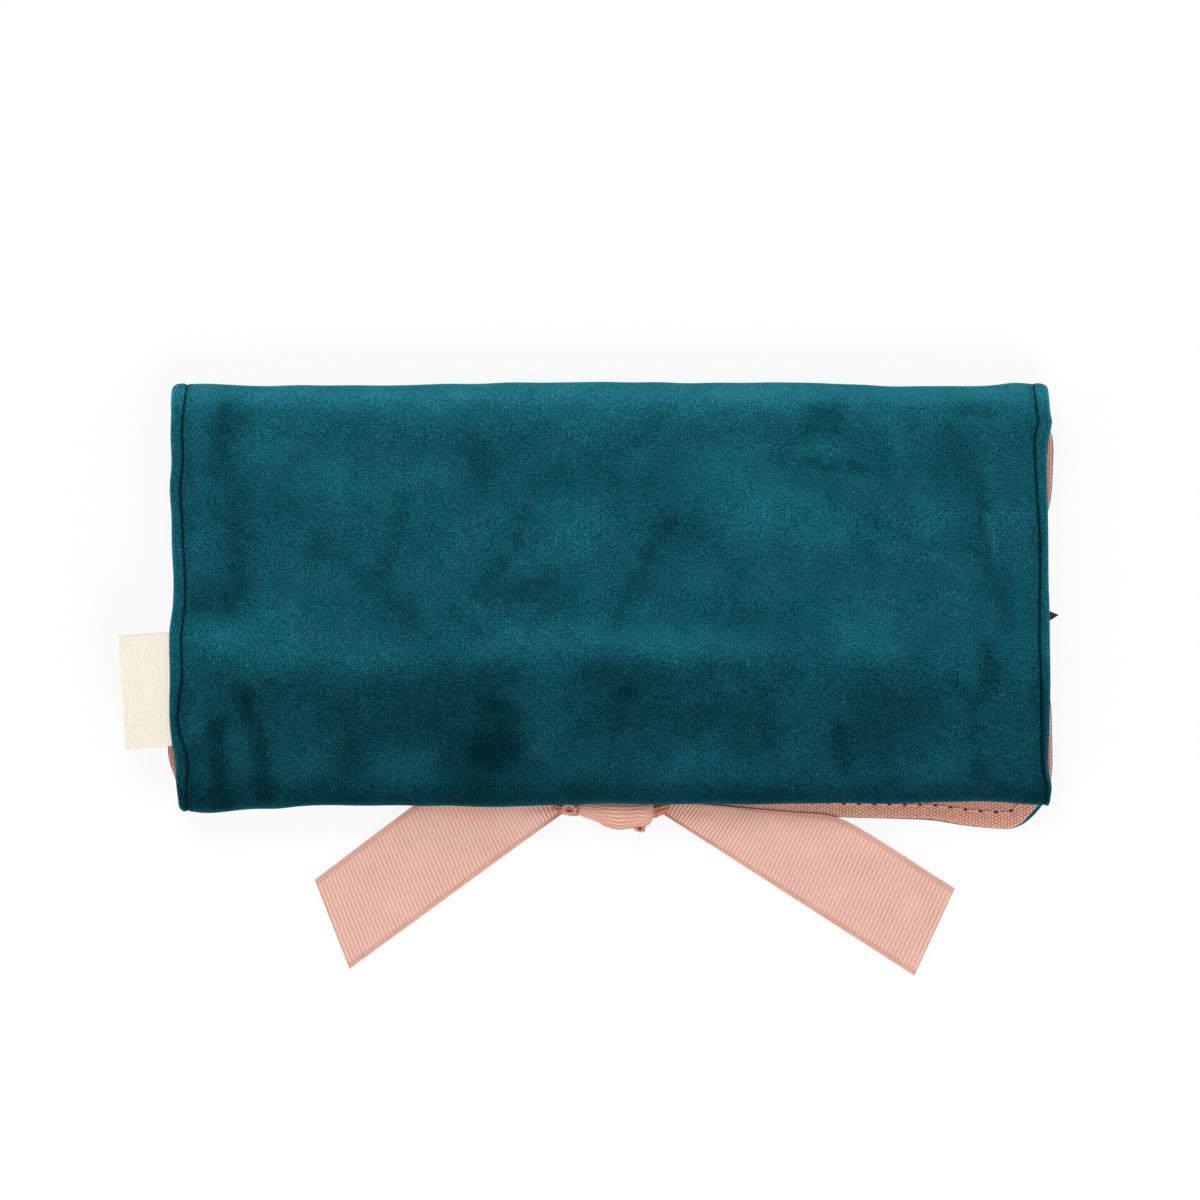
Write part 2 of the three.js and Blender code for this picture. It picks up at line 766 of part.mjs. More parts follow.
function pullTag() {
  const loop = [];
  const half = tagThickness / 2;
  const start = Math.asin(half / tagLoopRadius);
  for (let step = 0; step <= roundSides; step += 1) {
    const angle = start + ((2 * Math.PI - 2 * start) * step) / roundSides;
    loop.push(corner(tagX + tagLoopRadius * Math.cos(angle), pullZ + tagLoopRadius * Math.sin(angle)));
  }
  loop.push(corner(tagX + tagLength, pullZ - half), corner(tagX + tagLength, pullZ + half));
  const strap = toSolid(sideProfile(loop, zipY - tagHalf, zipY + tagHalf));
  const bore = new THREE.CylinderGeometry(tagLoopBore, tagLoopBore, 2 * (tagHalf + overrun), roundSides);
  const drilled = strap.subtract(toSolid(bore.translate(tagX, zipY, pullZ)));
  const tipX = tagX + tagLength;
  const plan = [
    corner(tagX - overrun, zipY - tagHalf),
    corner(tipX - tagPoint, zipY - tagHalf),
    corner(tipX, zipY + tagPointRise),
    corner(tipX - tagPoint, zipY + tagHalf),
    corner(tagX - overrun, zipY + tagHalf),
  ];
  return toGeometry(drilled.intersect(toSolid(prism(plan, pullZ - overrun, pullZ + overrun))));
}
addPiece('zip_slider', 'zip_slider', slider(), 'brass');
addPiece('zip_pull', 'zip_pull_ring', pullRing(), 'brass');
addPiece('zip_pull', 'zip_pull_tag', pullTag(), 'leather');

// The side label, caught in the back panel's left seam
function sideLabel() {
  const x = -rollWidth / 2 - labelGap;
  const low = labelTopY - labelHeight;
  const outline = [
    corner(x - labelReachBottom, low - labelTilt),
    corner(x, low),
    corner(x, labelTopY),
    corner(x - labelReachTop, labelTopY - labelTilt),
  ];
  const z = rollThickness - panelThickness / 2;
  return prism(outline, z - labelThickness / 2, z + labelThickness / 2);
}
addPiece('back', 'side_label', sideLabel(), 'label');

// The knot rests on the lining in the notch under the bottom fold
const knotZ = panelThickness + knotGap + knotRadius;
const knotReach = bottomRadius + knotGap + knotRadius;
const knotY = bottomFold.y - Math.sqrt(knotReach ** 2 - (bottomFold.z - knotZ) ** 2);
const knotLeft = knotX - knotWidth / 2;
const knotRight = knotX + knotWidth / 2;
const wrapSpread = (ribbonThickness + wrapLayerGap) * wrapTurnShare;
const wrapInnerRadius = knotRadius - ribbonThickness - wrapSpread;
function wrapDrop(x) {
  const fromMiddle = (2 * (x - knotX)) / knotWidth;
  return wrapEndDrop * fromMiddle ** 4;
}
function knotWrap() {
  const acrossShares = [0, 1 / 8, 1 / 4, 1 / 2, 3 / 4, 7 / 8, 1];
  const tuckShares = [1 / 4, 1 / 2];
  const under = acrossShares.map((share) => corner(share, 0));
  const over = acrossShares.map((share) => corner(share, ribbonThickness)).reverse();
  const section = [...under, ...over];
  const rings = [];
  for (let step = 0; step <= wrapSteps; step += 1) {
    const share = step / wrapSteps;
    const angle = Math.PI / 2 + 2 * Math.PI * wrapTurnShare * share;
    const radius = wrapInnerRadius + wrapSpread * share;
    const tuck = wrapTuck * THREE.MathUtils.smoothstep(share, ...tuckShares);
    rings.push(section.map((point) => {
      const x = THREE.MathUtils.lerp(knotLeft + tuck, knotRight, point.x);
      const reach = radius + point.y - wrapDrop(x);
      return new THREE.Vector3(x, knotY + reach * Math.cos(angle), knotZ + reach * Math.sin(angle));
    }));
  }
  return loft(rings, section);
}
function knotCore() {
  const waist = wrapInnerRadius - wrapEndDrop - knotCoreGap;
  const waistShares = [0, 0.05, 0.13, 0.5, 0.87, 0.95, 1];
  const radii = [waist, knotCoreBulge, waist, waist, waist, knotCoreBulge, waist];
  const profile = [corner(0, 0)];
  waistShares.forEach((share, i) => profile.push(corner(radii[i], share * knotCoreLength)));
  profile.push(corner(0, knotCoreLength));
  const geometry = new THREE.LatheGeometry(profile, roundSides);
  return geometry.rotateZ(-Math.PI / 2).translate(knotX - knotCoreLength / 2, knotY, knotZ);
}
addPiece('flap', 'tie_knot_wrap', knotWrap(), 'knot');
addPiece('flap', 'tie_knot_core', knotCore(), 'knot');

// The two ribbon ends that lead to the knot, one sewn to the flap and one to the inner panel
const tieFrontY = knotY + knotRadius - ribbonThickness;
const splitX = knotX - tieSplit / 2;
const flapRoot = rectangle(splitX - tieRootWidth, tieFrontY, splitX, tieFrontY + tieRootReach);
const leadRight = splitX + tieSplit + tieRootWidth;
const tieLead = rectangle(splitX + tieSplit, tieFrontY, leadRight, tieFrontY + tieLeadLength);
const innerRoot = rectangle(
  knotX - ribbonWidth / 2,
  bottomFold.y + foldGap + tieEndGap,
  knotX + ribbonWidth / 2,
  bottomFold.y + foldGap + tieEndGap + innerTieLength,
);
const tieTop = panelThickness + tieRootThickness;
addPiece('flap', 'flap_tie_root', prism(flapRoot, panelThickness, tieTop), 'ribbon');
addPiece('flap', 'inner_tie_lead', prism(tieLead, panelThickness, tieTop), 'ribbon');
const innerRootPrism = prism(innerRoot, innerOuterZ - tieRootThickness, innerOuterZ);
addPiece('inner', 'inner_tie_root', innerRootPrism, 'ribbon');

// Ribbon tails. Each drapes from the lining over the flap's free edge down to the table.
function flapEdgeY(x) {
  const [left, kink, right] = flapPanel.corners;
  const [from, to] = x < kink.x ? [left, kink] : [kink, right];
  return THREE.MathUtils.mapLinear(x, from.x, to.x, from.y, to.y);
}
function drapeZ(x, y) {
  const past = flapEdgeY(x) - tailDrapeStart - y;
  const share = THREE.MathUtils.smoothstep(past, 0, tailDrape);
  return THREE.MathUtils.lerp(panelThickness + knotGap, tailTableGap, share);
}
function ribbonTail(tail) {
  const coreEnd = tail.side * (knotCoreLength / 2 + tailKnotGap) + knotX;
  const place = ([x, y]) => corner(tail.side * x, bottomFoldY - y);
  const lowerEnd = place(tail.lowerEnd);
  const upperEnd = place(tail.upperEnd);
  const upperEntry = place(tail.upperEntry);
  const lowerStart = corner(coreEnd, knotY - tailRootWidth / 2);
  const upperStart = corner(coreEnd, knotY + tailRootWidth / 2);
  const neck = corner(coreEnd + tail.side * tail.neckOuter[0], bottomFoldY + tail.neckOuter[1]);
  const upper = new THREE.CatmullRomCurve3(
    [upperStart, neck, upperEntry, upperEnd].map((point) => new THREE.Vector3(point.x, point.y, 0)),
    false,
    'centripetal',
  );
  const rings = [];
  for (let step = 0; step <= tailSteps; step += 1) {
    const share = step / tailSteps;
    const low = lowerStart.clone().lerp(lowerEnd, share);
    const high = upper.getPoint(share);
    const root = 1 - THREE.MathUtils.smoothstep(share, 0, tailRootShare);
    const thickness = THREE.MathUtils.lerp(ribbonThickness, tailRootThickness, root);
    const line = [];
    for (let strip = 0; strip <= tailStrips; strip += 1) {
      const across = strip / tailStrips;
      const x = THREE.MathUtils.lerp(low.x, high.x, across);
      const y = THREE.MathUtils.lerp(low.y, high.y, across);
      line.push(new THREE.Vector3(x, y, drapeZ(x, y) + tailRootRise * root ** 2));
    }
    const top = line.map((point) => point.clone().setZ(point.z + thickness)).reverse();
    rings.push([...line, ...top]);
  }
  const flat = [];
  for (let strip = 0; strip <= tailStrips; strip += 1) {
    flat.push(corner(strip, 0));
  }
  for (let strip = tailStrips; strip >= 0; strip -= 1) {
    flat.push(corner(strip, 1));
  }
  return loft(rings, flat);
}
addPiece('left_tail', 'left_ribbon_tail', ribbonTail(leftTail), 'ribbon');
addPiece('right_tail', 'right_ribbon_tail', ribbonTail(rightTail), 'ribbon');

export default roll;
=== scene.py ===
"""A padded velvet jewelry roll, folded in three and tied with a ribbon, seen from straight above.

Metres, Z up. The roll's outer cloth follows one path: s is the length along it, negative on the flap, then
over the top fold, the back panel and the bottom fold to the inner panel. Depth is how far a point lies
inside the outer cloth.
"""
import math

import bmesh
import bpy
import numpy as np
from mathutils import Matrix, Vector

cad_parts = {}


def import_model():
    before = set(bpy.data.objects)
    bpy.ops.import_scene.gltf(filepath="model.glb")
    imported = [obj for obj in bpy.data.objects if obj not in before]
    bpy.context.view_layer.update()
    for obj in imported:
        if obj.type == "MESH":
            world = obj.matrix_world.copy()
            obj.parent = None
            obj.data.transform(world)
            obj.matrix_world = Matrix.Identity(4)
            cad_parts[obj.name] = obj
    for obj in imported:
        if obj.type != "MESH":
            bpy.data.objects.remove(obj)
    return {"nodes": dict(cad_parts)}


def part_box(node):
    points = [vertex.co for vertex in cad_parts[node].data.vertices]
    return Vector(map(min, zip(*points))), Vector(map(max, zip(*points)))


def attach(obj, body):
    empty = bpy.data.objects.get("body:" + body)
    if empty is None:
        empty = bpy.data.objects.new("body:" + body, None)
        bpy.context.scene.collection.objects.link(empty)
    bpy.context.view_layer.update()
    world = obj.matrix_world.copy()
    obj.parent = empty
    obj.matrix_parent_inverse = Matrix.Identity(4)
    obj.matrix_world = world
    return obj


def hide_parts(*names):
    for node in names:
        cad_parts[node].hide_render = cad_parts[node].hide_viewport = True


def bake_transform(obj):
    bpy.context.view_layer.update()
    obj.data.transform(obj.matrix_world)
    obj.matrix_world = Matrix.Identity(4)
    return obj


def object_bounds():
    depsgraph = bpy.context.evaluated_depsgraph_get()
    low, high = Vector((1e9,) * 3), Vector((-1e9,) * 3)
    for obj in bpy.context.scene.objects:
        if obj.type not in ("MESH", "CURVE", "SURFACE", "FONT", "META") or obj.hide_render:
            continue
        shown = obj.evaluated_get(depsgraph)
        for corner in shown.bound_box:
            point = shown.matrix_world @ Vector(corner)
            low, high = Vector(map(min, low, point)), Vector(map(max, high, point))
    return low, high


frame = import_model()
cad_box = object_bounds()
MM = 0.001

# Camera, straight down: a photograph of 1200 x 1200 pixels at 0.24 mm a pixel on the back panel
PIXEL = 0.24 * MM
FRAME_PIXELS = 1200
ORIGIN_PIXEL = (610.5, 594.5)
CAMERA_HEIGHT = 1.9
CAMERA_CLIP = (0.05, 20.0)
SENSOR = 36.0
back_low, back_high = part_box("back_velvet")


def make_camera():
    data = bpy.data.cameras.new("camera")
    data.sensor_width = SENSOR
    data.lens = SENSOR * CAMERA_HEIGHT / (FRAME_PIXELS * PIXEL)
    data.clip_start, data.clip_end = CAMERA_CLIP
    camera = bpy.data.objects.new("camera", data)
    bpy.context.scene.collection.objects.link(camera)
    x = (FRAME_PIXELS / 2 - ORIGIN_PIXEL[0]) * PIXEL
    y = (ORIGIN_PIXEL[1] - FRAME_PIXELS / 2) * PIXEL
    camera.location = (x, y, back_high.z + CAMERA_HEIGHT)
    bpy.context.scene.camera = camera


make_camera()


# Curves and noise
def smoothstep(low, high, value):
    share = np.clip((value - low) / (high - low), 0.0, 1.0)
    return share * share * (3 - 2 * share)


def bell(value, centre, width):
    return np.exp(-(((value - centre) / width) ** 2))


def stack(*parts):
    return np.stack(parts, -1)


def unit(vectors):
    return vectors / np.maximum(np.linalg.norm(vectors, axis=-1, keepdims=True), 1e-12)


def run_along(line, power=1.0):
    """The way along a line from its first point to each of its points."""
    return np.concatenate([[0], np.cumsum(np.linalg.norm(np.diff(line, axis=0), axis=1) ** power)])


def at_run(values, run, at):
    """The values given along a run, read off at other places on it."""
    return stack(*[np.interp(at, run, column) for column in values.T])


def smooth_between(p, slope, i, t, step):
    """From point i to the next with the given slopes, at share t of the step."""
    return (
        p[i] * (2 * t**3 - 3 * t**2 + 1) + slope[i] * step * (t**3 - 2 * t**2 + t)
        + p[i + 1] * (3 * t**2 - 2 * t**3) + slope[i + 1] * step * (t**3 - t**2)
    )


def curve(points, value):
    """A smooth curve through (place, height) points, both in millimetres."""
    at, height = (np.array(sorted(points)) * MM).T
    i = np.clip(np.searchsorted(at, value) - 1, 0, len(at) - 2)
    step = at[i + 1] - at[i]
    return smooth_between(height, np.gradient(height, at), i, np.clip((value - at[i]) / step, 0, 1), step)


def smooth_line(points, share):
    """A smooth line through points in millimetres, with share 0 to 1 by its length."""
    p = np.array(points, float) * MM
    run = run_along(p, 0.5)
    t = np.linspace(0, run[-1], 240)
    slope = np.gradient(p, run, axis=0)
    slope[0], slope[-1] = (p[1] - p[0]) / (run[1] - run[0]), (p[-1] - p[-2]) / (run[-1] - run[-2])
    i = np.clip(np.searchsorted(run, t) - 1, 0, len(run) - 2)
    step = run[i + 1] - run[i]
    dense = smooth_between(p, slope, i, ((t - run[i]) / step)[:, None], step[:, None])
    length = run_along(dense)
    return at_run(dense, length, share * length[-1])


def wave_noise(seed, count, longest, shortest):
    """Smooth noise made of seeded waves, with wavelengths in millimetres."""
    rng = np.random.default_rng(seed)
    angle = rng.uniform(0, 2 * np.pi, count)
    length = np.exp(rng.uniform(np.log(shortest), np.log(longest), count))
    phase = rng.uniform(0, 2 * np.pi, count)
    weight = (length / longest) ** 0.6
    weight /= np.sqrt((weight**2).sum() / 2)
    waves = list(zip(np.cos(angle), np.sin(angle), 2 * np.pi / (length * MM), phase, weight))

    def field(u, v):
        total = np.zeros(np.broadcast(u, v).shape)
        for c, d, rate, p, w in waves:
            total = total + w * np.sin((u * c + v * d) * rate + p)
        return total

    return field


# The path, measured on the CAD solids
flap_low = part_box("flap_velvet")[0]
inner_low, inner_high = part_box("inner_velvet")
top_low, top_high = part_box("top_fold_velvet")
bottom_low, bottom_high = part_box("bottom_fold_velvet")
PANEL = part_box("flap_lining")[1].z - flap_low.z
TOP_Y, TOP_R = top_low.y, top_high.y - top_low.y
TOP_Z = (top_low.z + top_high.z) / 2
BOTTOM_Y, BOTTOM_R = bottom_high.y, bottom_high.y - bottom_low.y
BOTTOM_Z = (bottom_low.z + bottom_high.z) / 2
BACK_Z = back_high.z
INNER_Z = inner_low.z
S_BACK = math.pi * TOP_R
S_BOTTOM = S_BACK + TOP_Y - BOTTOM_Y
S_INNER = S_BOTTOM + math.pi * BOTTOM_R
S_END = S_INNER + inner_high.y - BOTTOM_Y
S_TOP_MID = S_BACK / 2
S_BACK_MID = S_BACK + TOP_Y
S_BOTTOM_MID = (S_BOTTOM + S_INNER) / 2


def path(s, depth):
    """Y and Z of a point at length s and at a depth inside the outer cloth."""
    s, depth = np.broadcast_arrays(np.asarray(s, float), np.asarray(depth, float))
    top = s / TOP_R - np.pi / 2
    bottom = np.pi / 2 - (s - S_BOTTOM) / BOTTOM_R
    over, under = TOP_R - depth, BOTTOM_R - depth
    parts = [s < 0, s < S_BACK, s < S_BOTTOM, s < S_INNER]
    flat_y = [TOP_Y + s, TOP_Y + over * np.cos(top), TOP_Y - s + S_BACK, BOTTOM_Y - under * np.cos(bottom)]
    flat_z = [depth, TOP_Z + over * np.sin(top), BACK_Z - depth, BOTTOM_Z + under * np.sin(bottom)]
    y = np.select(parts, flat_y, BOTTOM_Y + s - S_INNER)
    z = np.select(parts, flat_z, INNER_Z + depth)
    return y, z


# Edges and seams of the cloth: X of the edge, then the seam's distance in from it, against Y
LEFT_EDGE = [
    (50.5, -105.7), (47.3, -105.7), (44.3, -105.6), (38, -105.7), (31, -105.5), (26, -105.9), (19, -105.5),
    (12, -105.4), (2, -105.0), (-3, -105.2), (-8, -105.9), (-20, -105.9), (-31, -105.9), (-36.7, -105.2),
    (-39.7, -104.6), (-45.5, -104.4), (-50.5, -104.0),
]
RIGHT_EDGE = [
    (50.5, 105.5), (47.3, 105.6), (44.3, 105.7), (41.3, 106.1), (38, 105.4), (33, 105.0), (26, 105.0),
    (14, 105.2), (2, 105.3), (-4, 105.5), (-12, 105.6), (-22, 105.7), (-31, 105.5), (-43, 105.4),
    (-46.5, 106.0), (-50.5, 105.9),
]
LEFT_SEAM = [
    (50.5, 3.7), (45.5, 3.2), (41.5, 2.85), (36, 2.9), (25, 2.6), (3.5, 2.9), (-8, 3.0), (-20, 3.0),
    (-32.5, 2.1), (-36.5, 2.8), (-50.5, 2.2),
]
RIGHT_SEAM = [
    (50.5, 3.6), (46.5, 3.45), (42.5, 3.4), (39, 3.6), (33, 3.1), (24, 2.6), (10, 2.1), (-11, 2.6),
    (-30, 2.0), (-47, 1.3), (-50.5, 1.3),
]
# The flap's free edge, and how far each fold stands out along X
FLAP_EDGE = [
    (-106.5, -49.4), (-40, -50.1), (8, -51.0), (24, -52.3), (57, -54.0), (70, -54.4), (79, -54.9),
    (86, -56.0), (92, -56.6), (106.5, -57.0),
]
BOTTOM_BULGE = [
    (-106, 1.6), (-98, 2.2), (-92, 2.0), (-85, 1.5), (-80, 1.4), (-74, 0.8), (-60, 0.6), (-45, 0.5),
    (-33, 0.85), (-21, 0.35), (-8, 0.3), (0, -0.2), (10, 0.3), (16, 0.3), (27, 0.1), (40, 0.0), (48, 0.2),
    (57, -0.2), (63, 0.1), (70, -0.3), (82, -0.25), (93, -0.7), (99, 0.1), (105, 0.6),
]
TOP_BULGE = [
    (-106, 0.6), (-98, 0.4), (-90, 0.0), (-80, 0.1), (-68, -0.6), (-56, -0.55), (-44, 0.15), (-20, 0.1),
    (-8, 0.6), (0, 0.85), (10, 0.65), (16, 0.35), (30, 0.65), (45, 0.6), (57, 0.0), (69, -0.6), (76, -0.5),
    (82, -0.1), (93, -0.1), (99, 0.5), (106, 0.6),
]
PLAN_LIMIT = 50.5 * MM
FLAP_LIMIT = 57 * MM
FLAP_SEAM = 2.4 * MM
FLAP_LEFT = [
    (50.5, -104.4), (30, -104.6), (0, -104.4), (-30, -105.0), (-35.5, -107.0), (-41, -106.6), (-45, -105.0),
    (-50.5, -104.2),
]
FLAP_RIGHT = [
    (50.5, 104.8), (43, 105.4), (38.5, 106.9), (30, 107.1), (23, 106.6), (17, 105.2), (0, 104.7),
    (-18.5, 105.0), (-23.5, 106.2), (-27, 106.7), (-33, 106.9), (-38, 107.0), (-43, 106.9), (-46, 106.4),
    (-48.5, 105.4), (-51.5, 104.3), (-57, 103.6),
]


def side_value(s, table, flap_value, inner_value):
    """Follows the table over the back panel, and the other two values on the flap and the inner panel."""
    flap = 1 - smoothstep(0, S_TOP_MID, s)
    inner = smoothstep(S_BOTTOM_MID, S_INNER, s)
    value = curve(table, np.clip(TOP_Y - (s - S_BACK), -PLAN_LIMIT, PLAN_LIMIT))
    value = value * (1 - flap) + flap_value * flap
    return value * (1 - inner) + inner_value * inner


def side_tables(s, s_right=None):
    """Left and right edge and the two seam distances at each length s, which may differ at the right side."""
    s_right = s if s_right is None else s_right
    sides = ((s, LEFT_EDGE, FLAP_LEFT, inner_low.x), (s_right, RIGHT_EDGE, FLAP_RIGHT, inner_high.x))
    edges = [
        side_value(at, table, curve(flap_edge, np.clip(TOP_Y + at, -FLAP_LIMIT, PLAN_LIMIT)), inner_x)
        for at, table, flap_edge, inner_x in sides
    ]
    seams = ((s, LEFT_SEAM), (s_right, RIGHT_SEAM))
    return edges + [side_value(at, table, FLAP_SEAM, FLAP_SEAM) for at, table in seams]


# The nap: soft strokes where the pile lies another way. Each has its strength, its width and the points
# it runs through, in millimetres on the back panel. A stroke with a negative strength is darker.
NAP_STROKES = [
    (-0.9, 3.2, [(-92, 45), (-93.5, 38), (-93, 32)]), (-0.4, 2.5, [(-92, 42), (-84, 45)]),
    (-0.35, 5, [(-91, 25), (-90, 8)]), (-0.9, 4.2, [(-97, -2), (-91, -1)]),
    (-0.35, 2, [(-90, 22), (-89, 2)]), (-1.1, 2.6, [(-95, -31), (-94, -42), (-93, -50)]),
    (-1.1, 2.2, [(-88.5, -23), (-85.5, -31), (-84, -40), (-83.5, -49)]),
    (-0.45, 7, [(-72, -24), (-48, -24)]), (-0.5, 3, [(-63, -30), (-62, -41)]),
    (-0.3, 7, [(-58, -34), (-42, -33)]), (-0.3, 5, [(-78, 20), (-68, 17), (-70, 12)]),
    (-0.35, 3.4, [(-70, 12), (-63, 6), (-55, 0), (-48, -4)]), (-0.4, 3.4, [(-52, -1), (-48, -8)]),
    (-0.65, 1.5, [(-49.5, 24), (-50.5, 18), (-52.5, 10), (-56, 4)]), (-0.3, 1.3, [(-61, 34), (-61.5, 28)]),
    (-0.6, 1.6, [(-20.5, 19), (-22.5, 12), (-28, 5), (-33, 0)]),
    (-0.5, 2.2, [(-38, -4), (-33, -7), (-31, -11)]), (-0.6, 2.0, [(-30, -1), (-22, 1.5), (-14, 3.5)]),
    (-0.4, 3, [(-24, -1), (-8, -3)]), (-0.55, 3.4, [(-36, 36), (-31, 34), (-31.5, 28)]),
    (-0.35, 4, [(-14, 28), (0, 28)]), (-0.3, 2.2, [(-4, 34), (8, 37)]),
    (-1.3, 4.6, [(-29, -38), (-25, -37)]), (-0.9, 2.4, [(-29, -26), (-26, -27)]),
    (-0.7, 7, [(-31, -44), (-26, -32)]), (-0.45, 4, [(-38, -19), (-24, -19)]),
    (-0.3, 9, [(-36, -30), (-36, -46)]), (-0.55, 3, [(-5, -18.5), (12, -18.5)]),
    (-0.6, 1.8, [(2, -23), (8, -22)]), (-0.4, 2, [(4, -24), (2, -31)]), (-0.35, 8, [(-2, -30), (20, -28)]),
    (-0.65, 1.6, [(1, -8), (3, -2), (7, 6), (10.5, 12), (13.5, 17)]),
    (-0.4, 4.5, [(16, 17), (24, 13), (30, 5)]), (-0.4, 1.6, [(9, 3), (8.5, 0)]),
    (-0.3, 3, [(16, -2), (34, -6)]), (-0.75, 1.3, [(46, 32), (54, 31), (66, 29)]),
    (-0.35, 3.4, [(64, 34), (68, 27)]), (-0.7, 2.4, [(48, 45), (55, 43.5)]),
    (-0.3, 4.5, [(50, 40), (62, 38)]), (-0.8, 2.2, [(85, 44.5), (90, 44.5)]),
    (-0.35, 4, [(82, 38), (86, 30)]), (-0.6, 1.5, [(88.5, 26), (89, 16), (90, 8)]),
    (-0.3, 1.8, [(90, 8), (94, -1)]), (0.4, 1.2, [(91.5, 38), (91.3, 25), (91.5, 10)]),
    (-0.4, 4, [(93, 6), (96, -6)]), (-0.85, 1.6, [(90, -13), (92, -18), (90.5, -23)]),
    (-0.5, 1.5, [(82, -20), (86, -25), (90, -25)]), (-0.7, 1.4, [(87, -27), (87.5, -34), (88.5, -43)]),
    (0.35, 2.4, [(85.5, -16), (86, -21)]), (0.5, 4, [(74, -42), (81, -41)]),
    (-0.9, 2.2, [(55, -33), (56, -41)]), (-0.5, 2.0, [(37, -24), (38, -36)]),
    (-0.4, 2.6, [(23, -18), (42, -18)]), (-0.3, 2.4, [(52, -17), (63, -18)]),
    (-0.4, 2.2, [(25, -28), (30, -30)]), (-0.35, 8, [(60, -33), (74, -28)]),
    (-0.35, 1.1, [(62, 18), (71, 14), (78, 11), (88, 11)]), (-0.3, 2.5, [(62, 10), (66, 4)]),
    (-0.25, 1.2, [(66, -3), (72, -4.5)]), (0.5, 5, [(40, 18), (54, 14)]), (0.55, 2.6, [(46, 35), (53, 35)]),
    (0.35, 9, [(28, 32), (36, 24)]), (0.4, 3, [(42, 24), (50, 22)]),
    (0.3, 3, [(68, 38), (73, 24), (80, 10), (84, 0)]),
    (0.45, 4, [(-28, -12), (-5, -10), (14, -12), (32, -12)]), (0.4, 3.5, [(56, -9), (68, -14)]),
    (0.45, 3.5, [(-98, -8), (-90, -10)]), (0.35, 4, [(-84, -4), (-78, -5)]),
    (0.35, 5, [(-90, -14), (-66, -14), (-50, -16)]), (0.3, 7, [(-80, 35), (-66, 32)]),
    (0.25, 6, [(-66, 27), (-54, 26)]), (0.3, 3.5, [(-55, -40), (-45, -42)]),
    (0.25, 4, [(-15, -38), (-5, -40)]), (0.25, 5, [(20, -40), (32, -42)]),
    (0.35, 2.2, [(-99.5, -20), (-99.5, -34)]), (0.3, 3, [(-36, 12), (-28, 20)]),
    (0.25, 5, [(-8, 14), (-4, 18)]),
]
# Bands of lighter and darker velvet from side to side, painted highlight along the top and painted shade over
# the
# lower half and more toward the bottom: strength, and the Y where each starts and is full, in millimetres.
# Toward the flap they all fade out again.
PAINTED_LIGHT_BANDS = [(0.85, 38, 48), (-0.5, -12, -24), (-0.75, -42, -50), (0.7, 44, 50)]
PAINTED_LIGHT_BANDS_END = (75, 62)
NAP_LEVEL, NAP_STRENGTH, NAP_WAVER = -0.14, 0.82, 0.55
nap_noise = wave_noise(11, 30, 40, 6)
nap_grain = wave_noise(23, 40, 7, 1.6)
dent_noise = wave_noise(5, 24, 55, 12)


def line_distance(x, y, points):
    """Distance from a line through points, in millimetres."""
    nearest = np.full(x.shape, 1e9)
    for (x0, y0), (x1, y1) in zip(points[:-1], points[1:]):
        dx, dy = x1 - x0, y1 - y0
        t = np.clip(((x - x0) * dx + (y - y0) * dy) / (dx * dx + dy * dy), 0, 1)
        nearest = np.minimum(nearest, np.hypot(x - x0 - t * dx, y - y0 - t * dy))
    return nearest


def pile_and_painted_light(x, s):
    """How light or dark the velvet is drawn, from about -2 to 2: the pile's own strokes and patches, with
    painted highlight along the top and round the bottom fold, and painted shade toward the bottom.
    """
    x, s = np.broadcast_arrays(x, s)
    y = TOP_Y - (s - S_BACK)
    total = NAP_LEVEL + 0.1 * nap_noise(x, s) + 0.05 * nap_grain(x, s)
    # Painted highlight along the top and painted shade toward the bottom
    for strength, start, full in PAINTED_LIGHT_BANDS:
        total = total + strength * smoothstep(start, full, y / MM) * smoothstep(*PAINTED_LIGHT_BANDS_END, y / MM)
    # A painted highlight round the bottom fold, where the cloth turns away
    total = total + 0.8 * bell(s, S_BOTTOM_MID - 1.2 * MM, 1.6 * MM)
    wx = x / MM + NAP_WAVER * nap_grain(s, x)
    wy = y / MM + NAP_WAVER * nap_grain(x + 0.1, s)
    for strength, width, points in NAP_STROKES:
        stroke = np.exp(-((line_distance(wx, wy, points) / width) ** 2))
        total = total + NAP_STRENGTH * strength * stroke
    return total


def fold_bulge(x, s):
    """How far all layers stand out round the two folds."""
    bulge = 0
    for table, middle, radius in ((TOP_BULGE, S_TOP_MID, TOP_R), (BOTTOM_BULGE, S_BOTTOM_MID, BOTTOM_R)):
        turn = np.clip((s - middle) / radius, -math.pi / 2, math.pi / 2)
        bulge = bulge + curve(table, x) * np.cos(turn) ** 2
    return bulge


def velvet_bulge(x, s):
    return (0.17 * dent_noise(x, s) + 0.13 * np.clip(pile_and_painted_light(x, s), -1.2, 1.2)) * MM


def lining_bulge(x, s):
    return 0.1 * MM * dent_noise(x + 0.05, s)


# Profiles of the two cloths beside their edge: columns from the face to the edge, each with its distance
# from the edge and its depth. The velvet has a seam groove, a bead and a hem.
SEAM_OFFSETS = np.array([0.85, 0.5, 0.28, 0.12, 0.0]) * MM
BEAD_SHARES = np.array([0.05, 0.12, 0.24, 0.4, 0.54, 0.67, 0.78, 0.87, 0.94, 0.98, 1.0])
HEM = np.array([(0, 1.95), (0.04, 2.2), (0.16, 2.42), (0.42, 2.53), (0.8, 2.55), (1.2, 2.5)]) * MM
LINING_EDGE = [(3.9, 0), (2.6, 0), (1.5, 0), (0.7, 0.02), (0.4, 0.06), (0.2, 0.14), (0.06, 0.26), (0, 0.4)]
GROOVE, GROOVE_WIDTH = 0.6 * MM, 0.27 * MM
PILLOW, PILLOW_REACH = 0.32 * MM, 3.0 * MM
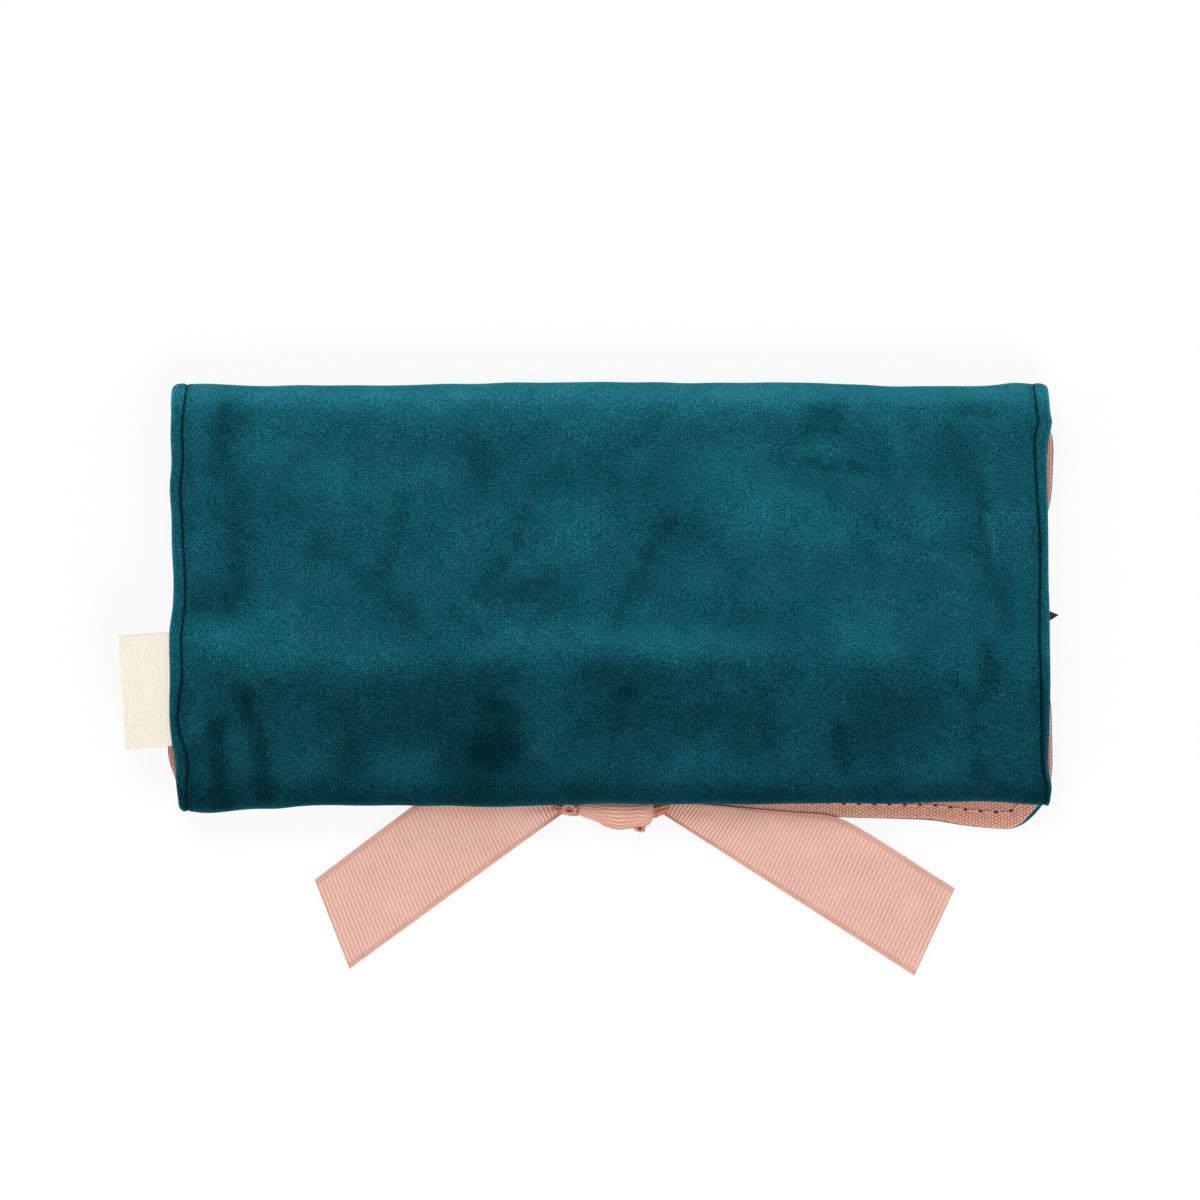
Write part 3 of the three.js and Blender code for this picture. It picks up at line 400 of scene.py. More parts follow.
BEAD_DROP, BEAD_HEIGHT, CROWN_START = 0.12 * MM, 1.55 * MM, 0.35
STITCH_PITCH, PUCKER_WANDER = 3.1 * MM, 7.7 * MM
FOLD_WIDTH, FOLD_EASE = 6 * MM, 0.6


def pucker(along):
    turn = 2 * np.pi * along
    return 1 + 0.3 * np.cos(turn / STITCH_PITCH) + 0.1 * np.cos(turn / PUCKER_WANDER)


def velvet_profile(seam, along):
    seam, along = seam[:, None], along[:, None]
    folded = bell(along, S_TOP_MID, FOLD_WIDTH) + bell(along, S_BOTTOM_MID, FOLD_WIDTH)
    groove = GROOVE * pucker(along) * (1 - FOLD_EASE * folded)
    near_depth = groove * bell(SEAM_OFFSETS, 0, GROOVE_WIDTH) + PILLOW * np.exp(-SEAM_OFFSETS / PILLOW_REACH)
    crown = np.clip((BEAD_SHARES - CROWN_START) / (1 - CROWN_START), 0, 1)
    bead_depth = (
        BEAD_DROP
        + (groove + PILLOW - BEAD_DROP) * bell(seam * BEAD_SHARES, 0, GROOVE_WIDTH * 1.1)
        + BEAD_HEIGHT * (1 - np.sqrt(1 - crown**2))
    )
    ones = np.ones_like(seam)
    distance = np.hstack([seam + SEAM_OFFSETS, seam * (1 - BEAD_SHARES), ones * HEM[:, 0]])
    return distance, np.hstack([near_depth, bead_depth, ones * HEM[:, 1]])


def lining_profile(seam, along):
    return [np.tile(np.array(column) * MM, (len(seam), 1)) for column in zip(*LINING_EDGE)]


class Layer:
    """A cloth of the roll: the depth of its face, the way its depth counts, its insets from the roll's edge,
    its border beside the edge, the step between its rows, its thickness and the radii of its corners."""

    def __init__(self, **values):
        for key, value in values.items():
            setattr(self, key, value)


VELVET = Layer(
    face=0.0, way=1, profile=velvet_profile, bulge=velvet_bulge, pillow=PILLOW,
    inset=0.0, flap_inset=0.0, end_inset=0.1 * MM, stitch_lean=0.0, tuck=0.0,
    border=4.3 * MM, step=1.6 * MM, cloth=0.4 * MM, radii=(7 * MM, 8.6 * MM, 6 * MM),
)
LINING = Layer(
    face=PANEL, way=-1, profile=lining_profile, bulge=lining_bulge, pillow=0.0,
    inset=0.42 * MM, flap_inset=0.22 * MM, end_inset=0.35 * MM, stitch_lean=0.6 * MM, tuck=0.95 * MM,
    border=4.9 * MM, step=2.4 * MM, cloth=0.42 * MM, radii=(6.6 * MM, 8.4 * MM, 5.6 * MM),
)
# Rows and columns lie closer beside the border. The tuck's centre and width are in millimetres.
NEAR = 0.75 * MM * np.arange(12)
NEAR_END = 9 * MM
FOLD_STEP = 1.0 * MM
TUCK_CENTRE, TUCK_WIDTH = (102.3, -52.3), 4.6
FADE_IN, SLANT_REACH = 6 * MM, 60 * MM
SEAM_PROBE, DEPTH_PROBE = 0.35 * MM, 0.1 * MM


def rim_inset(layer, s):
    """How far the layer's edge lies in from the roll's edge. The flap's lining comes right out to it."""
    free = smoothstep(0.5 * S_TOP_MID, 0.1 * S_TOP_MID, s)
    return layer.inset * (1 - free) + layer.flap_inset * free


def corner_tuck(layer, x, s):
    """Draws the lining in at the flap's right corner, where the velvet shows round it."""
    y = TOP_Y + s
    near = np.exp(-((x / MM - TUCK_CENTRE[0]) ** 2 + (y / MM - TUCK_CENTRE[1]) ** 2) / TUCK_WIDTH**2)
    return x - layer.tuck * 0.7 * near, s + layer.tuck * 0.75 * near


def even(start, end, step):
    return np.linspace(start, end, max(1, int(round((end - start) / step))) + 1)


def column_shares(layer):
    """Places of the face's columns between its two borders, closer near the sides."""
    width = back_high.x - back_low.x - 2 * layer.border
    middle = even(NEAR_END, width - NEAR_END, layer.step)
    return np.concatenate([NEAR, middle, width - NEAR[::-1]]) / width


def face_depth(layer, edge, seam):
    return layer.pillow * np.exp(-np.maximum(edge - seam, 0) / PILLOW_REACH)


def lay(layer, x, s, depth, edge, seam):
    """Points in space of cloth at x, s and depth, with a bulge that fades out toward the seam."""
    out = layer.bulge(x, s) * smoothstep(seam, seam + FADE_IN, edge)
    y, z = path(s, layer.face + layer.way * (depth - out) - fold_bulge(x, s))
    # No point lies under the table
    return stack(x, y, np.maximum(z, 0.0))


def cross_rows(layer, rows):
    """Points, x, s and distance from the edge, for rows right across the roll."""
    left, right, seam_left, seam_right = side_tables(rows)
    left, right = left + rim_inset(layer, rows), right - rim_inset(layer, rows)
    x0, x1 = left + layer.border, right - layer.border
    x = x0[:, None] + (x1 - x0)[:, None] * column_shares(layer)
    edge = np.minimum(x - left[:, None], right[:, None] - x)
    seam = np.where(x < 0, seam_left[:, None], seam_right[:, None])
    face = (x, rows[:, None] + 0 * x, face_depth(layer, edge, seam), edge, seam)
    sides = []
    for way, line, seam_line in ((-1, left, seam_left), (1, right, seam_right)):
        distance, depth = layer.profile(seam_line, rows)
        sx = line[:, None] - way * distance
        sides.append((sx, rows[:, None] + 0 * sx, depth, distance, seam_line[:, None] + 0 * sx))
    x, s, depth, edge, seam = (np.hstack([a[:, ::-1], b, c]) for a, b, c in zip(sides[0], face, sides[1]))
    return lay(layer, x, s, depth, edge, seam), x, s, edge


def rows_between(start, end, step):
    """Lengths s from start to end, with rows where each fold begins and ends, and closer rows in it."""
    stops = [start] + [s for s in (0, S_BACK, S_BOTTOM, S_INNER) if start < s < end] + [end]
    rows = []
    for a, b in zip(stops[:-1], stops[1:]):
        fold = 0 < (a + b) / 2 < S_BACK or S_BOTTOM < (a + b) / 2 < S_INNER
        rows.append(even(a, b, FOLD_STEP if fold else step)[:-1])
    return np.concatenate(rows + [[end]])


def seam_normals(layer, s):
    """Normals of the cloth along one row, so that two covers meet there without a line."""
    points = cross_rows(layer, np.array([s - SEAM_PROBE, s, s + SEAM_PROBE]))[0]
    return unit(np.cross(np.gradient(points[1], axis=0), points[2] - points[0]))


def grid_faces(index):
    a, b, c, d = index[:-1, :-1], index[:-1, 1:], index[1:, 1:], index[1:, :-1]
    return stack(a, b, c, d).reshape(-1, 4)


def tube_faces(rings, sides, first=0):
    """Faces of a tube made of rings of points, with a face over each end."""
    index = first + np.arange(rings * sides).reshape(rings, sides)
    ends = [index[0, ::-1].tolist(), index[-1].tolist()]
    return grid_faces(np.hstack([index, index[:, :1]])).tolist() + ends


# Pieces
MERGE = 0.004 * MM


def make_piece(name, points, faces, attributes=()):
    mesh = bpy.data.meshes.new(name)
    places = np.asarray(points, float).reshape(-1, 3).tolist()
    mesh.from_pydata(places, [], [list(map(int, face)) for face in faces])
    for key, values in attributes:
        values = np.asarray(values, np.float32)
        kind, slot = ("FLOAT_VECTOR", "vector") if values.ndim > 1 else ("FLOAT", "value")
        mesh.attributes.new(key, kind, "POINT").data.foreach_set(slot, values.ravel())
    mesh.polygons.foreach_set("use_smooth", [True] * len(mesh.polygons))
    mesh.update()
    piece = bpy.data.objects.new(name, mesh)
    bpy.context.scene.collection.objects.link(piece)
    return piece


def finish_mesh(piece):
    """Joins points that lie together and turns all faces outward."""
    bm = bmesh.new()
    bm.from_mesh(piece.data)
    bmesh.ops.remove_doubles(bm, verts=bm.verts, dist=MERGE)
    bmesh.ops.dissolve_degenerate(bm, edges=bm.edges, dist=MERGE / 2)
    bmesh.ops.delete(bm, geom=[v for v in bm.verts if not v.link_faces], context="VERTS")
    bmesh.ops.recalc_face_normals(bm, faces=bm.faces)
    bm.to_mesh(piece.data)
    bm.free()
    piece.data.update()


def thicken(piece, thickness):
    """Makes a closed cloth of an open sheet."""
    solid = piece.modifiers.new("cloth", "SOLIDIFY")
    solid.thickness = thickness
    solid.offset = -1
    graph = bpy.context.evaluated_depsgraph_get()
    mesh = bpy.data.meshes.new_from_object(
        piece.evaluated_get(graph), preserve_all_data_layers=True, depsgraph=graph
    )
    old = piece.data
    piece.modifiers.clear()
    piece.data = mesh
    bpy.data.meshes.remove(old)
    mesh.name = piece.name


def corner_map(dx, dy, radius):
    """Moves a point near a square corner so that the corner comes out round."""
    inside = (dx < radius) & (dy < radius)
    a, b = np.where(inside, 1 - dx / radius, 0), np.where(inside, 1 - dy / radius, 0)
    u, v = a * np.sqrt(1 - b * b / 2), b * np.sqrt(1 - a * a / 2)
    return np.where(inside, radius * (1 - u), dx), np.where(inside, radius * (1 - v), dy)


def free_edge(layer, flap, x):
    """Length s of the free edge at x."""
    if flap:
        return curve(FLAP_EDGE, x) - TOP_Y + layer.end_inset * (0.3 + bell(x, 78 * MM, 10 * MM))
    return S_END - layer.inset + 0 * x


def free_face(layer, seam_row, flap, way, radii):
    """The face of a cover with a free end: x, s, distance from the edge, seam and each row's distance."""
    border = layer.border
    start = float(free_edge(layer, flap, np.array(0.0))) + way * border

    def shift(x):
        return free_edge(layer, flap, x) + way * border - start

    rest = rows_between(*sorted((start + way * NEAR_END, seam_row)), layer.step)[::way]
    rows = np.concatenate([start + way * NEAR, rest])
    reach = np.abs(rows - start)
    tilt = 1 - smoothstep(0, SLANT_REACH, reach)
    ends = [rows + shift(np.array(x * MM)) * tilt for x in (-104, 104)]
    left, right, seam_left, seam_right = (v[:, None] for v in side_tables(*ends))
    inset = rim_inset(layer, rows)[:, None]
    x0, x1 = left + inset + border, right - inset - border
    x = x0 + (x1 - x0) * column_shares(layer)
    on_left = x - x0 < x1 - x
    radius = np.where(on_left, radii[0], radii[1]) - border
    mx, my = corner_map(np.minimum(x - x0, x1 - x), reach[:, None] + 0 * x, radius)
    x = np.where(on_left, x0 + mx, x1 - mx)
    s = start + way * my + shift(x) * (1 - smoothstep(0, SLANT_REACH, my))
    rounded = (mx < radius) & (my < radius)
    edge = border + np.where(rounded, radius - np.hypot(radius - mx, radius - my), np.minimum(mx, my))
    return x, s, edge, np.where(x < 0, seam_left, seam_right) + 0 * x, reach


def free_end(layer, seam_row, flap):
    """A cover with a free end: its face, with a border that runs round its three sides."""
    way = 1 if flap else -1
    radii = layer.radii[:2] if flap else layer.radii[2:] * 2
    x, s, edge, seam, reach = free_face(layer, seam_row, flap, way, radii)
    index = np.arange(x.size).reshape(x.shape)
    # The border's inner line: up one side from the seam row, along the free edge, and back
    line = np.concatenate([index[::-1, 0], index[0, 1:-1], index[:, -1]])
    lx, ls, lseam = x.ravel()[line], s.ravel()[line], seam.ravel()[line]
    normal = unit(stack(np.gradient(ls), -np.gradient(lx)) * way)
    straight = [reach > r - layer.border + 0.1 * MM for r in radii]
    side = np.concatenate([straight[0][::-1], np.zeros(x.shape[1] - 2, bool), straight[1]])
    normal = np.where(side[:, None], stack(np.sign(lx), 0 * lx), normal)
    run = np.concatenate([[0], np.cumsum(np.hypot(np.diff(lx), np.diff(ls)))])
    distance, rim_depth = layer.profile(lseam, np.where(side & (lx > 0), ls, ls[0] - way * run))
    if flap:
        # The lining's topstitch comes nearer the free edge away from the right corner
        distance[:, 0] -= layer.stitch_lean * smoothstep(96 * MM, 72 * MM, lx)
    bx = lx[:, None] + normal[:, :1] * (layer.border - distance)
    bs = ls[:, None] + normal[:, 1:] * (layer.border - distance)
    depth = face_depth(layer, edge, seam)
    if flap:
        x, s = corner_tuck(layer, x, s)
        bx, bs = corner_tuck(layer, bx, bs)
    points = lay(layer, x, s, depth, edge, seam)
    rim = lay(layer, bx, bs, rim_depth, distance, lseam[:, None] + 0 * bx)
    ring = np.hstack([line[:, None], x.size + np.arange(bx.size).reshape(bx.shape)])
    everything = [
        np.concatenate([a.reshape(-1, *a.shape[2:]), b.reshape(-1, *b.shape[2:])])
        for a, b in ((points, rim), (x, bx), (s, bs), (edge, distance))
    ]
    faces = np.vstack([grid_faces(index), grid_faces(ring)])
    seam_index = np.concatenate([ring[0, ::-1], index[-1, 1:-1], ring[-1]])
    return everything, faces, {float(seam_row): seam_index}, everything[0][ring]


def between(layer, start, end):
    """A cover between two seam rows."""
    points, x, s, edge = cross_rows(layer, rows_between(start, end, layer.step))
    index = np.arange(x.size).reshape(x.shape)
    everything = [points.reshape(-1, 3), x.ravel(), s.ravel(), edge.ravel()]
    return everything, grid_faces(index), {float(start): index[0], float(end): index[-1]}, points


# The four parts that each layer is made in, with the rows where they start and end, and their panels
COVER_PARTS = {
    "flap": (None, S_TOP_MID),
    "upper": (S_TOP_MID, S_BACK_MID),
    "lower": (S_BACK_MID, S_BOTTOM_MID),
    "inner": (S_BOTTOM_MID, None),
}
PANELS = {
    "flap": ["flap"], "upper": ["top_fold", "back"], "lower": ["back", "bottom_fold"], "inner": ["inner"],
}
# Each quarter of a fold, with the two bodies beside it and the lengths s where it starts and ends. bend() finds
# points at the lining's depth there and bakes each piece's place; nothing follows either body.
BEND_DEPTH = PANEL + 0.3 * MM
BENDS = {
    "flap": ("flap", "top_fold", 0.0, S_TOP_MID),
    "upper": ("top_fold", "back", S_TOP_MID, S_BACK),
    "lower": ("back", "bottom_fold", S_BOTTOM, S_BOTTOM_MID),
    "inner": ("bottom_fold", "inner_panel", S_BOTTOM_MID, S_INNER),
}
# Painted shade in the seam groove and beside it, and a painted highlight along the edge, each with its strength
# and width
SEAM_SHADE, BESIDE_SHADE, EDGE_HIGHLIGHT = (1.2, 0.3 * MM), (0.2, 1.2 * MM), (0.9, 1.1 * MM)


def bend(piece, part):
    a, b, first, last = BENDS[part]
    (y0, y1), (z0, z1) = path([first, last], BEND_DEPTH)
    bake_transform(piece)


def cloth_cover(name, layer, part):
    start, end = COVER_PARTS[part]
    if start is None or end is None:
        everything, faces, seams, lines = free_end(layer, end or start, start is None)
    else:
        everything, faces, seams, lines = between(layer, start, end)
    points, x, s, edge = everything
    seam_left, seam_right = side_tables(s)[2:]
    seam = edge - np.where(x < 0, seam_left, seam_right)
    # The pile's tone with painted light: painted shade in the seam and beside it, a painted highlight along the
    # edge
    lie_and_painted_light = pile_and_painted_light(x, s) - SEAM_SHADE[0] * bell(seam, 0, SEAM_SHADE[1])
    lie_and_painted_light = lie_and_painted_light - BESIDE_SHADE[0] * bell(seam, BESIDE_SHADE[1], BESIDE_SHADE[1])
    lie_and_painted_light = lie_and_painted_light + EDGE_HIGHLIGHT[0] * (1 - smoothstep(0, EDGE_HIGHLIGHT[1], edge)) * (seam < 0)
    piece = make_piece(name, points, faces, [("weave", stack(x, s, edge)), ("pile_and_painted_light", lie_and_painted_light)])
    # Faces look away from the roll's wadding for velvet, toward its hollow for the lining
    low, high = path(s, layer.face), path(s, layer.face - layer.way * DEPTH_PROBE)
    outward = stack(0 * x, high[0] - low[0], high[1] - low[1])
    middle = max(piece.data.polygons, key=lambda p: (edge[list(p.vertices)].min(), p.area))
    if middle.normal.dot(Vector(outward[middle.vertices[0]])) < 0:
        piece.data.flip_normals()
    thicken(piece, layer.cloth)
    normals = np.zeros((len(piece.data.vertices), 3))
    for row, index in seams.items():
        value = seam_normals(layer, row)
        normals[index] = value * np.sign(np.einsum("ij,ij->i", value, outward[index]).sum())
    piece.data.normals_split_custom_set_from_vertices(normals.tolist())
    bend(piece, part)
    return piece, lines


# Materials
def linear(red, green, blue):
    """A colour written in the usual 0 to 255 steps, as the shader wants it."""
    values = [v / 255 for v in (red, green, blue)]
    return (*(v / 12.92 if v <= 0.04045 else ((v + 0.055) / 1.055) ** 2.4 for v in values), 1.0)


class Finish:
    """A node material. Numbers and colours that are the same all over go on the shader itself."""

    def __init__(self, name, **settings):
        self.material = bpy.data.materials.new(name)
        self.material.use_nodes = True
        self.tree = self.material.node_tree
        self.shader = self.tree.nodes["Principled BSDF"]
        for key, value in settings.items():
            self.shader.inputs[key.replace("_", " ")].default_value = value

    def add(self, kind, inputs=None, **settings):
        node = self.tree.nodes.new("ShaderNode" + kind)
        for key, value in settings.items():
            setattr(node, key, value)
        for key, value in (inputs or {}).items():
            if isinstance(value, bpy.types.NodeSocket):
                self.tree.links.new(value, node.inputs[key])
            else:
                node.inputs[key].default_value = value
        return node

    def feed(self, key, socket):
        self.tree.links.new(socket, self.shader.inputs[key])

    def attribute(self, name, output="Fac"):
        return self.add("Attribute", attribute_name=name).outputs[output]

    def noise(self, vector, scale, detail, roughness=0.55):
        values = {"Vector": vector, "Scale": scale, "Detail": detail, "Roughness": roughness}
        return self.add("TexNoise", values).outputs["Fac"]

    def math(self, operation, a, b=0.0):
        return self.add("Math", {0: a, 1: b}, operation=operation).outputs[0]

    def wave(self, socket, pitch):
        return self.math("SINE", self.math("MULTIPLY", socket, 2 * math.pi / pitch))

    def spread(self, value, low, high, to_low=0.0, to_high=1.0):
        values = {"Value": value, "From Min": low, "From Max": high, "To Min": to_low, "To Max": to_high}
        return self.add("MapRange", values).outputs["Result"]

    def vary(self, value, noise, amount, low=0.3):
        """Adds noise to a value, by the amount up and down."""
        return self.math("ADD", value, self.spread(noise, low, 1 - low, -amount, amount))

    def colour(self, value, stops):
        """The base colour, from a value and its stops."""
        node = self.add("ValToRGB", {"Fac": value})
        elements = node.color_ramp.elements
        while len(elements) < len(stops):
            elements.new(0.5)
        for element, (place, tone) in zip(elements, stops):
            element.position = place
            element.color = linear(*tone)
        self.feed("Base Color", node.outputs["Color"])

    def bump(self, height, distance, strength, **more):
        values = {"Height": height, "Distance": distance, "Strength": strength, **more}
        return self.add("Bump", values).outputs["Normal"]


WALE, COURSE = 0.74 * MM, 0.87 * MM
VELVET_TONES = [
    (0.0, (0, 26, 32)), (0.2, (3, 42, 50)), (0.4, (11, 64, 75)), (0.5, (17, 78, 91)), (0.6, (21, 92, 106)),
    (0.8, (33, 121, 138)), (1.0, (56, 156, 174)),
]
CANVAS_THREADS = (0.78 * MM, 0.4 * MM)
CANVAS_TONES = [(0.1, (184, 112, 92)), (0.45, (225, 160, 140)), (0.8, (248, 198, 178))]
RIBBON_STOPS = (0, 0.4, 0.62, 0.9)
RIBBON_TONES = ((160, 90, 70), (210, 157, 140), (227, 180, 164), (238, 194, 179))
# The knot's and the gathers' tones are the ribbon's, darkened by painted shade
KNOT_SHADE_TONES = ((128, 64, 48), (188, 120, 98), (217, 162, 144), (236, 188, 171))
GATHER_SHADE_TONES = ((112, 40, 26), (166, 82, 60), (206, 128, 104), (230, 168, 146))
LABEL_LINES = 0.62 * MM
LABEL_TONES = [(0.0, (228, 216, 196)), (0.5, (247, 237, 220)), (1.0, (252, 246, 234))]
TAPE_THREADS = (0.45 * MM, 0.45 * MM)
TAPE_TONES = [(0.0, (16, 14, 15)), (1.0, (46, 42, 44))]


def velvet_finish():
    f = Finish(
        "velvet", Roughness=0.9, Sheen_Weight=0.5, Sheen_Roughness=0.3, Sheen_Tint=linear(25, 165, 190),
        Specular_IOR_Level=0.03,
    )
    # The velvet's tone from its mesh: the pile's own, with painted highlight and shade
    at, lie_and_painted_light = f.attribute("weave", "Vector"), f.attribute("pile_and_painted_light")
    grain, clump = f.noise(at, 3600, 1.5, 0.7), f.noise(at, 620, 3.0, 0.6)
    # The pile stands in the wales and courses of its knitted back
    split = f.add("SeparateXYZ", {0: at})
    wale, course = f.wave(split.outputs[0], WALE), f.wave(split.outputs[1], COURSE)
    knit = f.math("ADD", f.math("MULTIPLY", wale, 0.1), f.math("MULTIPLY", course, 0.05))
    lie_and_painted_light = f.vary(f.vary(f.math("ADD", lie_and_painted_light, knit), grain, 2.15, 0.25), clump, 0.1)
    f.colour(f.spread(lie_and_painted_light, -2.4, 2.4), VELVET_TONES)
    f.feed("Normal", f.bump(clump, 0.2 * MM, 0.4, Normal=f.bump(grain, 0.14 * MM, 0.6)))
    return f.material


def weave_height(f, at, wide, tall):
    """The height of a plain weave: thick threads side by side, each over and under the thin ones."""
    split = f.add("SeparateXYZ", {0: at})
    across, along = f.wave(split.outputs[0], 2 * wide), f.wave(split.outputs[1], 2 * tall)
    thread = f.math("MULTIPLY", f.math("MULTIPLY", across, across), 1.3)
    return f.math("ADD", f.math("MULTIPLY", across, along), f.math("SUBTRACT", thread, 0.65))


def canvas_finish():
    f = Finish("canvas", Roughness=0.92, Specular_IOR_Level=0.08)
    at = f.attribute("weave", "Vector")
    weave = weave_height(f, at, *CANVAS_THREADS)
    slub, fibre = f.noise(at, 900, 2.0), f.noise(at, 5200, 1.0)
    height = f.vary(f.vary(weave, slub, 0.3), fibre, 0.25)
    f.colour(f.spread(height, -1.6, 1.7), CANVAS_TONES)
    f.feed("Normal", f.bump(height, 0.1 * MM, 0.8))
    return f.material


def ribbon_finish(name, tones):
    """Grosgrain. Rib shading is painted shade and light: from 0 in the valleys to 1 on the crests, and below 0
    for deeper painted shade in gathers.
    """
    f = Finish(
        name, Roughness=0.66, Sheen_Weight=0.1, Sheen_Tint=linear(240, 190, 175), Specular_IOR_Level=0.16
    )
    at, rib_shading = f.attribute("weave", "Vector"), f.attribute("rib_shading")
    thread, patch = f.noise(at, 1900, 2.0, 0.6), f.noise(at, 110, 2.0, 0.5)
    level = f.vary(f.vary(rib_shading, thread, 0.16), patch, 0.1)
    f.colour(f.spread(level, -0.8, 1.2), list(zip(RIBBON_STOPS, tones)))
    f.feed("Normal", f.bump(thread, 0.06 * MM, 0.5))
    return f.material


def label_finish():
    f = Finish("label", Roughness=0.85, Specular_IOR_Level=0.2)
    at = f.attribute("weave", "Vector")
    line = f.wave(f.add("SeparateXYZ", {0: at}).outputs[0], LABEL_LINES)
    height = f.vary(line, f.noise(at, 1400, 2.0), 0.8)
    f.colour(f.spread(height, -1.8, 1.8), LABEL_TONES)
    f.feed("Normal", f.bump(height, 0.05 * MM, 0.6))
    return f.material


def tape_finish():
    f = Finish("tape", Roughness=0.8)
    weave = weave_height(f, f.attribute("weave", "Vector"), *TAPE_THREADS)
    f.colour(f.spread(weave, -1, 1), TAPE_TONES)
    f.feed("Normal", f.bump(weave, 0.08 * MM, 0.8))
    return f.material


def solid_finish(name, colours, scale, bump, roughness, **settings):
    """A finish whose colour and surface vary with soft noise, for parts without cloth coordinates."""
    f = Finish(name, Roughness=roughness, **settings)
    at = f.add("TexCoord").outputs["Object"]
    broad, fine = f.noise(at, scale, 4.0, 0.6), f.noise(at, scale * 6, 2.0, 0.6)
    f.colour(broad, list(zip((0.25, 0.75), colours)))
    f.feed("Roughness", f.spread(fine, 0.3, 0.7, roughness - 0.08, roughness + 0.1))
    f.feed("Normal", f.bump(f.math("ADD", broad, f.math("MULTIPLY", fine, 0.4)), bump, 0.7))
    return f.material


def thread_finish(name, colours, roughness):
    return solid_finish(name, colours, 3000, 0.05 * MM, roughness, Specular_IOR_Level=0.08)


velvet = velvet_finish()
canvas = canvas_finish()
ribbon = ribbon_finish("ribbon", RIBBON_TONES)
# Copies of the ribbon darkened by painted shade, for the knot and its gathered core
shaded_knot_cloth = ribbon_finish("ribbon_knotted_shaded", KNOT_SHADE_TONES)
shaded_gather_cloth = ribbon_finish("ribbon_gathered_shaded", GATHER_SHADE_TONES)
label_cloth = label_finish()
tape = tape_finish()
wadding = solid_finish("wadding", ((226, 222, 212), (245, 243, 238)), 700, 0.3 * MM, 0.95)
leather = solid_finish("leather", ((14, 11, 10), (30, 25, 23)), 900, 0.12 * MM, 0.5)
brass = solid_finish("brass", ((186, 148, 82), (214, 178, 110)), 300, 0.02 * MM, 0.32, Metallic=1.0)
velvet_thread = thread_finish("thread_teal", ((2, 28, 36), (8, 48, 58)), 0.85)
# Dark stitch marks: painted shade in the needle holes
hole_shade_finish = thread_finish("needle_shade_dark", ((48, 22, 20), (84, 48, 42)), 0.85)
rose_thread = thread_finish("thread_rose", ((214, 166, 152), (240, 200, 186)), 0.8)


def settle(piece, material, body=None, replaces=()):
    piece.data.materials.clear()
    piece.data.materials.append(material)
    if body:
        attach(piece, body)
    if replaces:
        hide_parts(*replaces)
    return piece


# Stitches. Each ring of a stitch has its place along it, its size, and how far it rises out of the cloth.
STITCH_RINGS = [(-0.5, 0.25, -0.7), (-0.36, 0.9, 0.1), (0, 1.0, 0.5), (0.36, 0.9, 0.1), (0.5, 0.25, -0.7)]
STITCH_SIDES = 6


def dashes(name, lines, pitch, length, radius, lift=0.0, shift=0.0):
    """Stitches along lines. Each line has its points and the outward direction at each point."""
    angles = np.arange(STITCH_SIDES) * 2 * np.pi / STITCH_SIDES
    points, faces = [], []
    for line, outward in lines:
        run = run_along(line)
        for at in np.arange(pitch * (0.5 + shift), run[-1], pitch):
            back, middle, front = (at_run(line, run, at + k * length / 2) for k in (-1, 0, 1))
            way = unit(front - back)
            up = at_run(outward, run, at)
            up = unit(up - way * up.dot(way))
            across = np.cross(way, up)
            faces += tube_faces(len(STITCH_RINGS), STITCH_SIDES, len(points))
            for place, size, rise in STITCH_RINGS:
                centre = middle + way * place * length + up * (rise * radius + lift)
                for angle in angles:
                    spoke = across * math.cos(angle) + up * math.sin(angle)
                    points.append(centre + size * radius * spoke)
    return make_piece(name, points, faces)


def outward_line(grid, column):
    """The line down one column of a border grid, and the direction that its cloth faces beside it."""
    line = grid[:, column]
    across = grid[:, min(column + 1, grid.shape[1] - 1)] - grid[:, column - 1]
    return line, unit(np.cross(np.gradient(line, axis=0), across))


# The velvet, wadding and lining
SIDE_COLUMNS = len(SEAM_OFFSETS) + len(BEAD_SHARES) + len(HEM)
# The length s on each part where its outward direction is measured
FLAT_PLACES = {
    "flap": -40 * MM, "upper": S_TOP_MID + 1 * MM, "lower": S_BACK_MID + 1 * MM, "inner": S_INNER + 15 * MM,
}
# Length, radius and lift of a seam stitch
SEAM_STITCH = (2.3 * MM, 0.17 * MM, 0.02 * MM)
TOPSTITCH_PITCH, TOPSTITCH_LIFT = 3.7 * MM, 0.07 * MM
PAD_ENDS, PAD_STEP, PAD_INSET, PAD_COLUMNS = (14 * MM, 5 * MM), 5 * MM, 4.6 * MM, 44
PAD_DEPTHS, PAD_ROUND, PAD_RIM = (0.62 * MM, 2.5 * MM), 0.7 * MM, 5 * MM


def face_side(part, normal):
    """Turns stitch directions so that they point out of the roll's padding."""
    (y0, y1), (z0, z1) = path(FLAT_PLACES[part], [0.0, DEPTH_PROBE])
    return normal if (normal @ np.array([0, y0 - y1, z0 - z1])).sum() > 0 else -normal


def seam_stitches(part, lines):
    last = lines.shape[1] - 1
    seam = SIDE_COLUMNS - len(SEAM_OFFSETS)
    rows = []
    for column in (len(SEAM_OFFSETS),) if last == SIDE_COLUMNS else (seam, last - seam):
        line, normal = outward_line(lines, column)
        rows.append((line, face_side(part, normal)))
    piece = dashes(f"{part}_seam_stitches", rows, STITCH_PITCH, *SEAM_STITCH)
    settle(piece, velvet_thread)
    bend(piece, part)


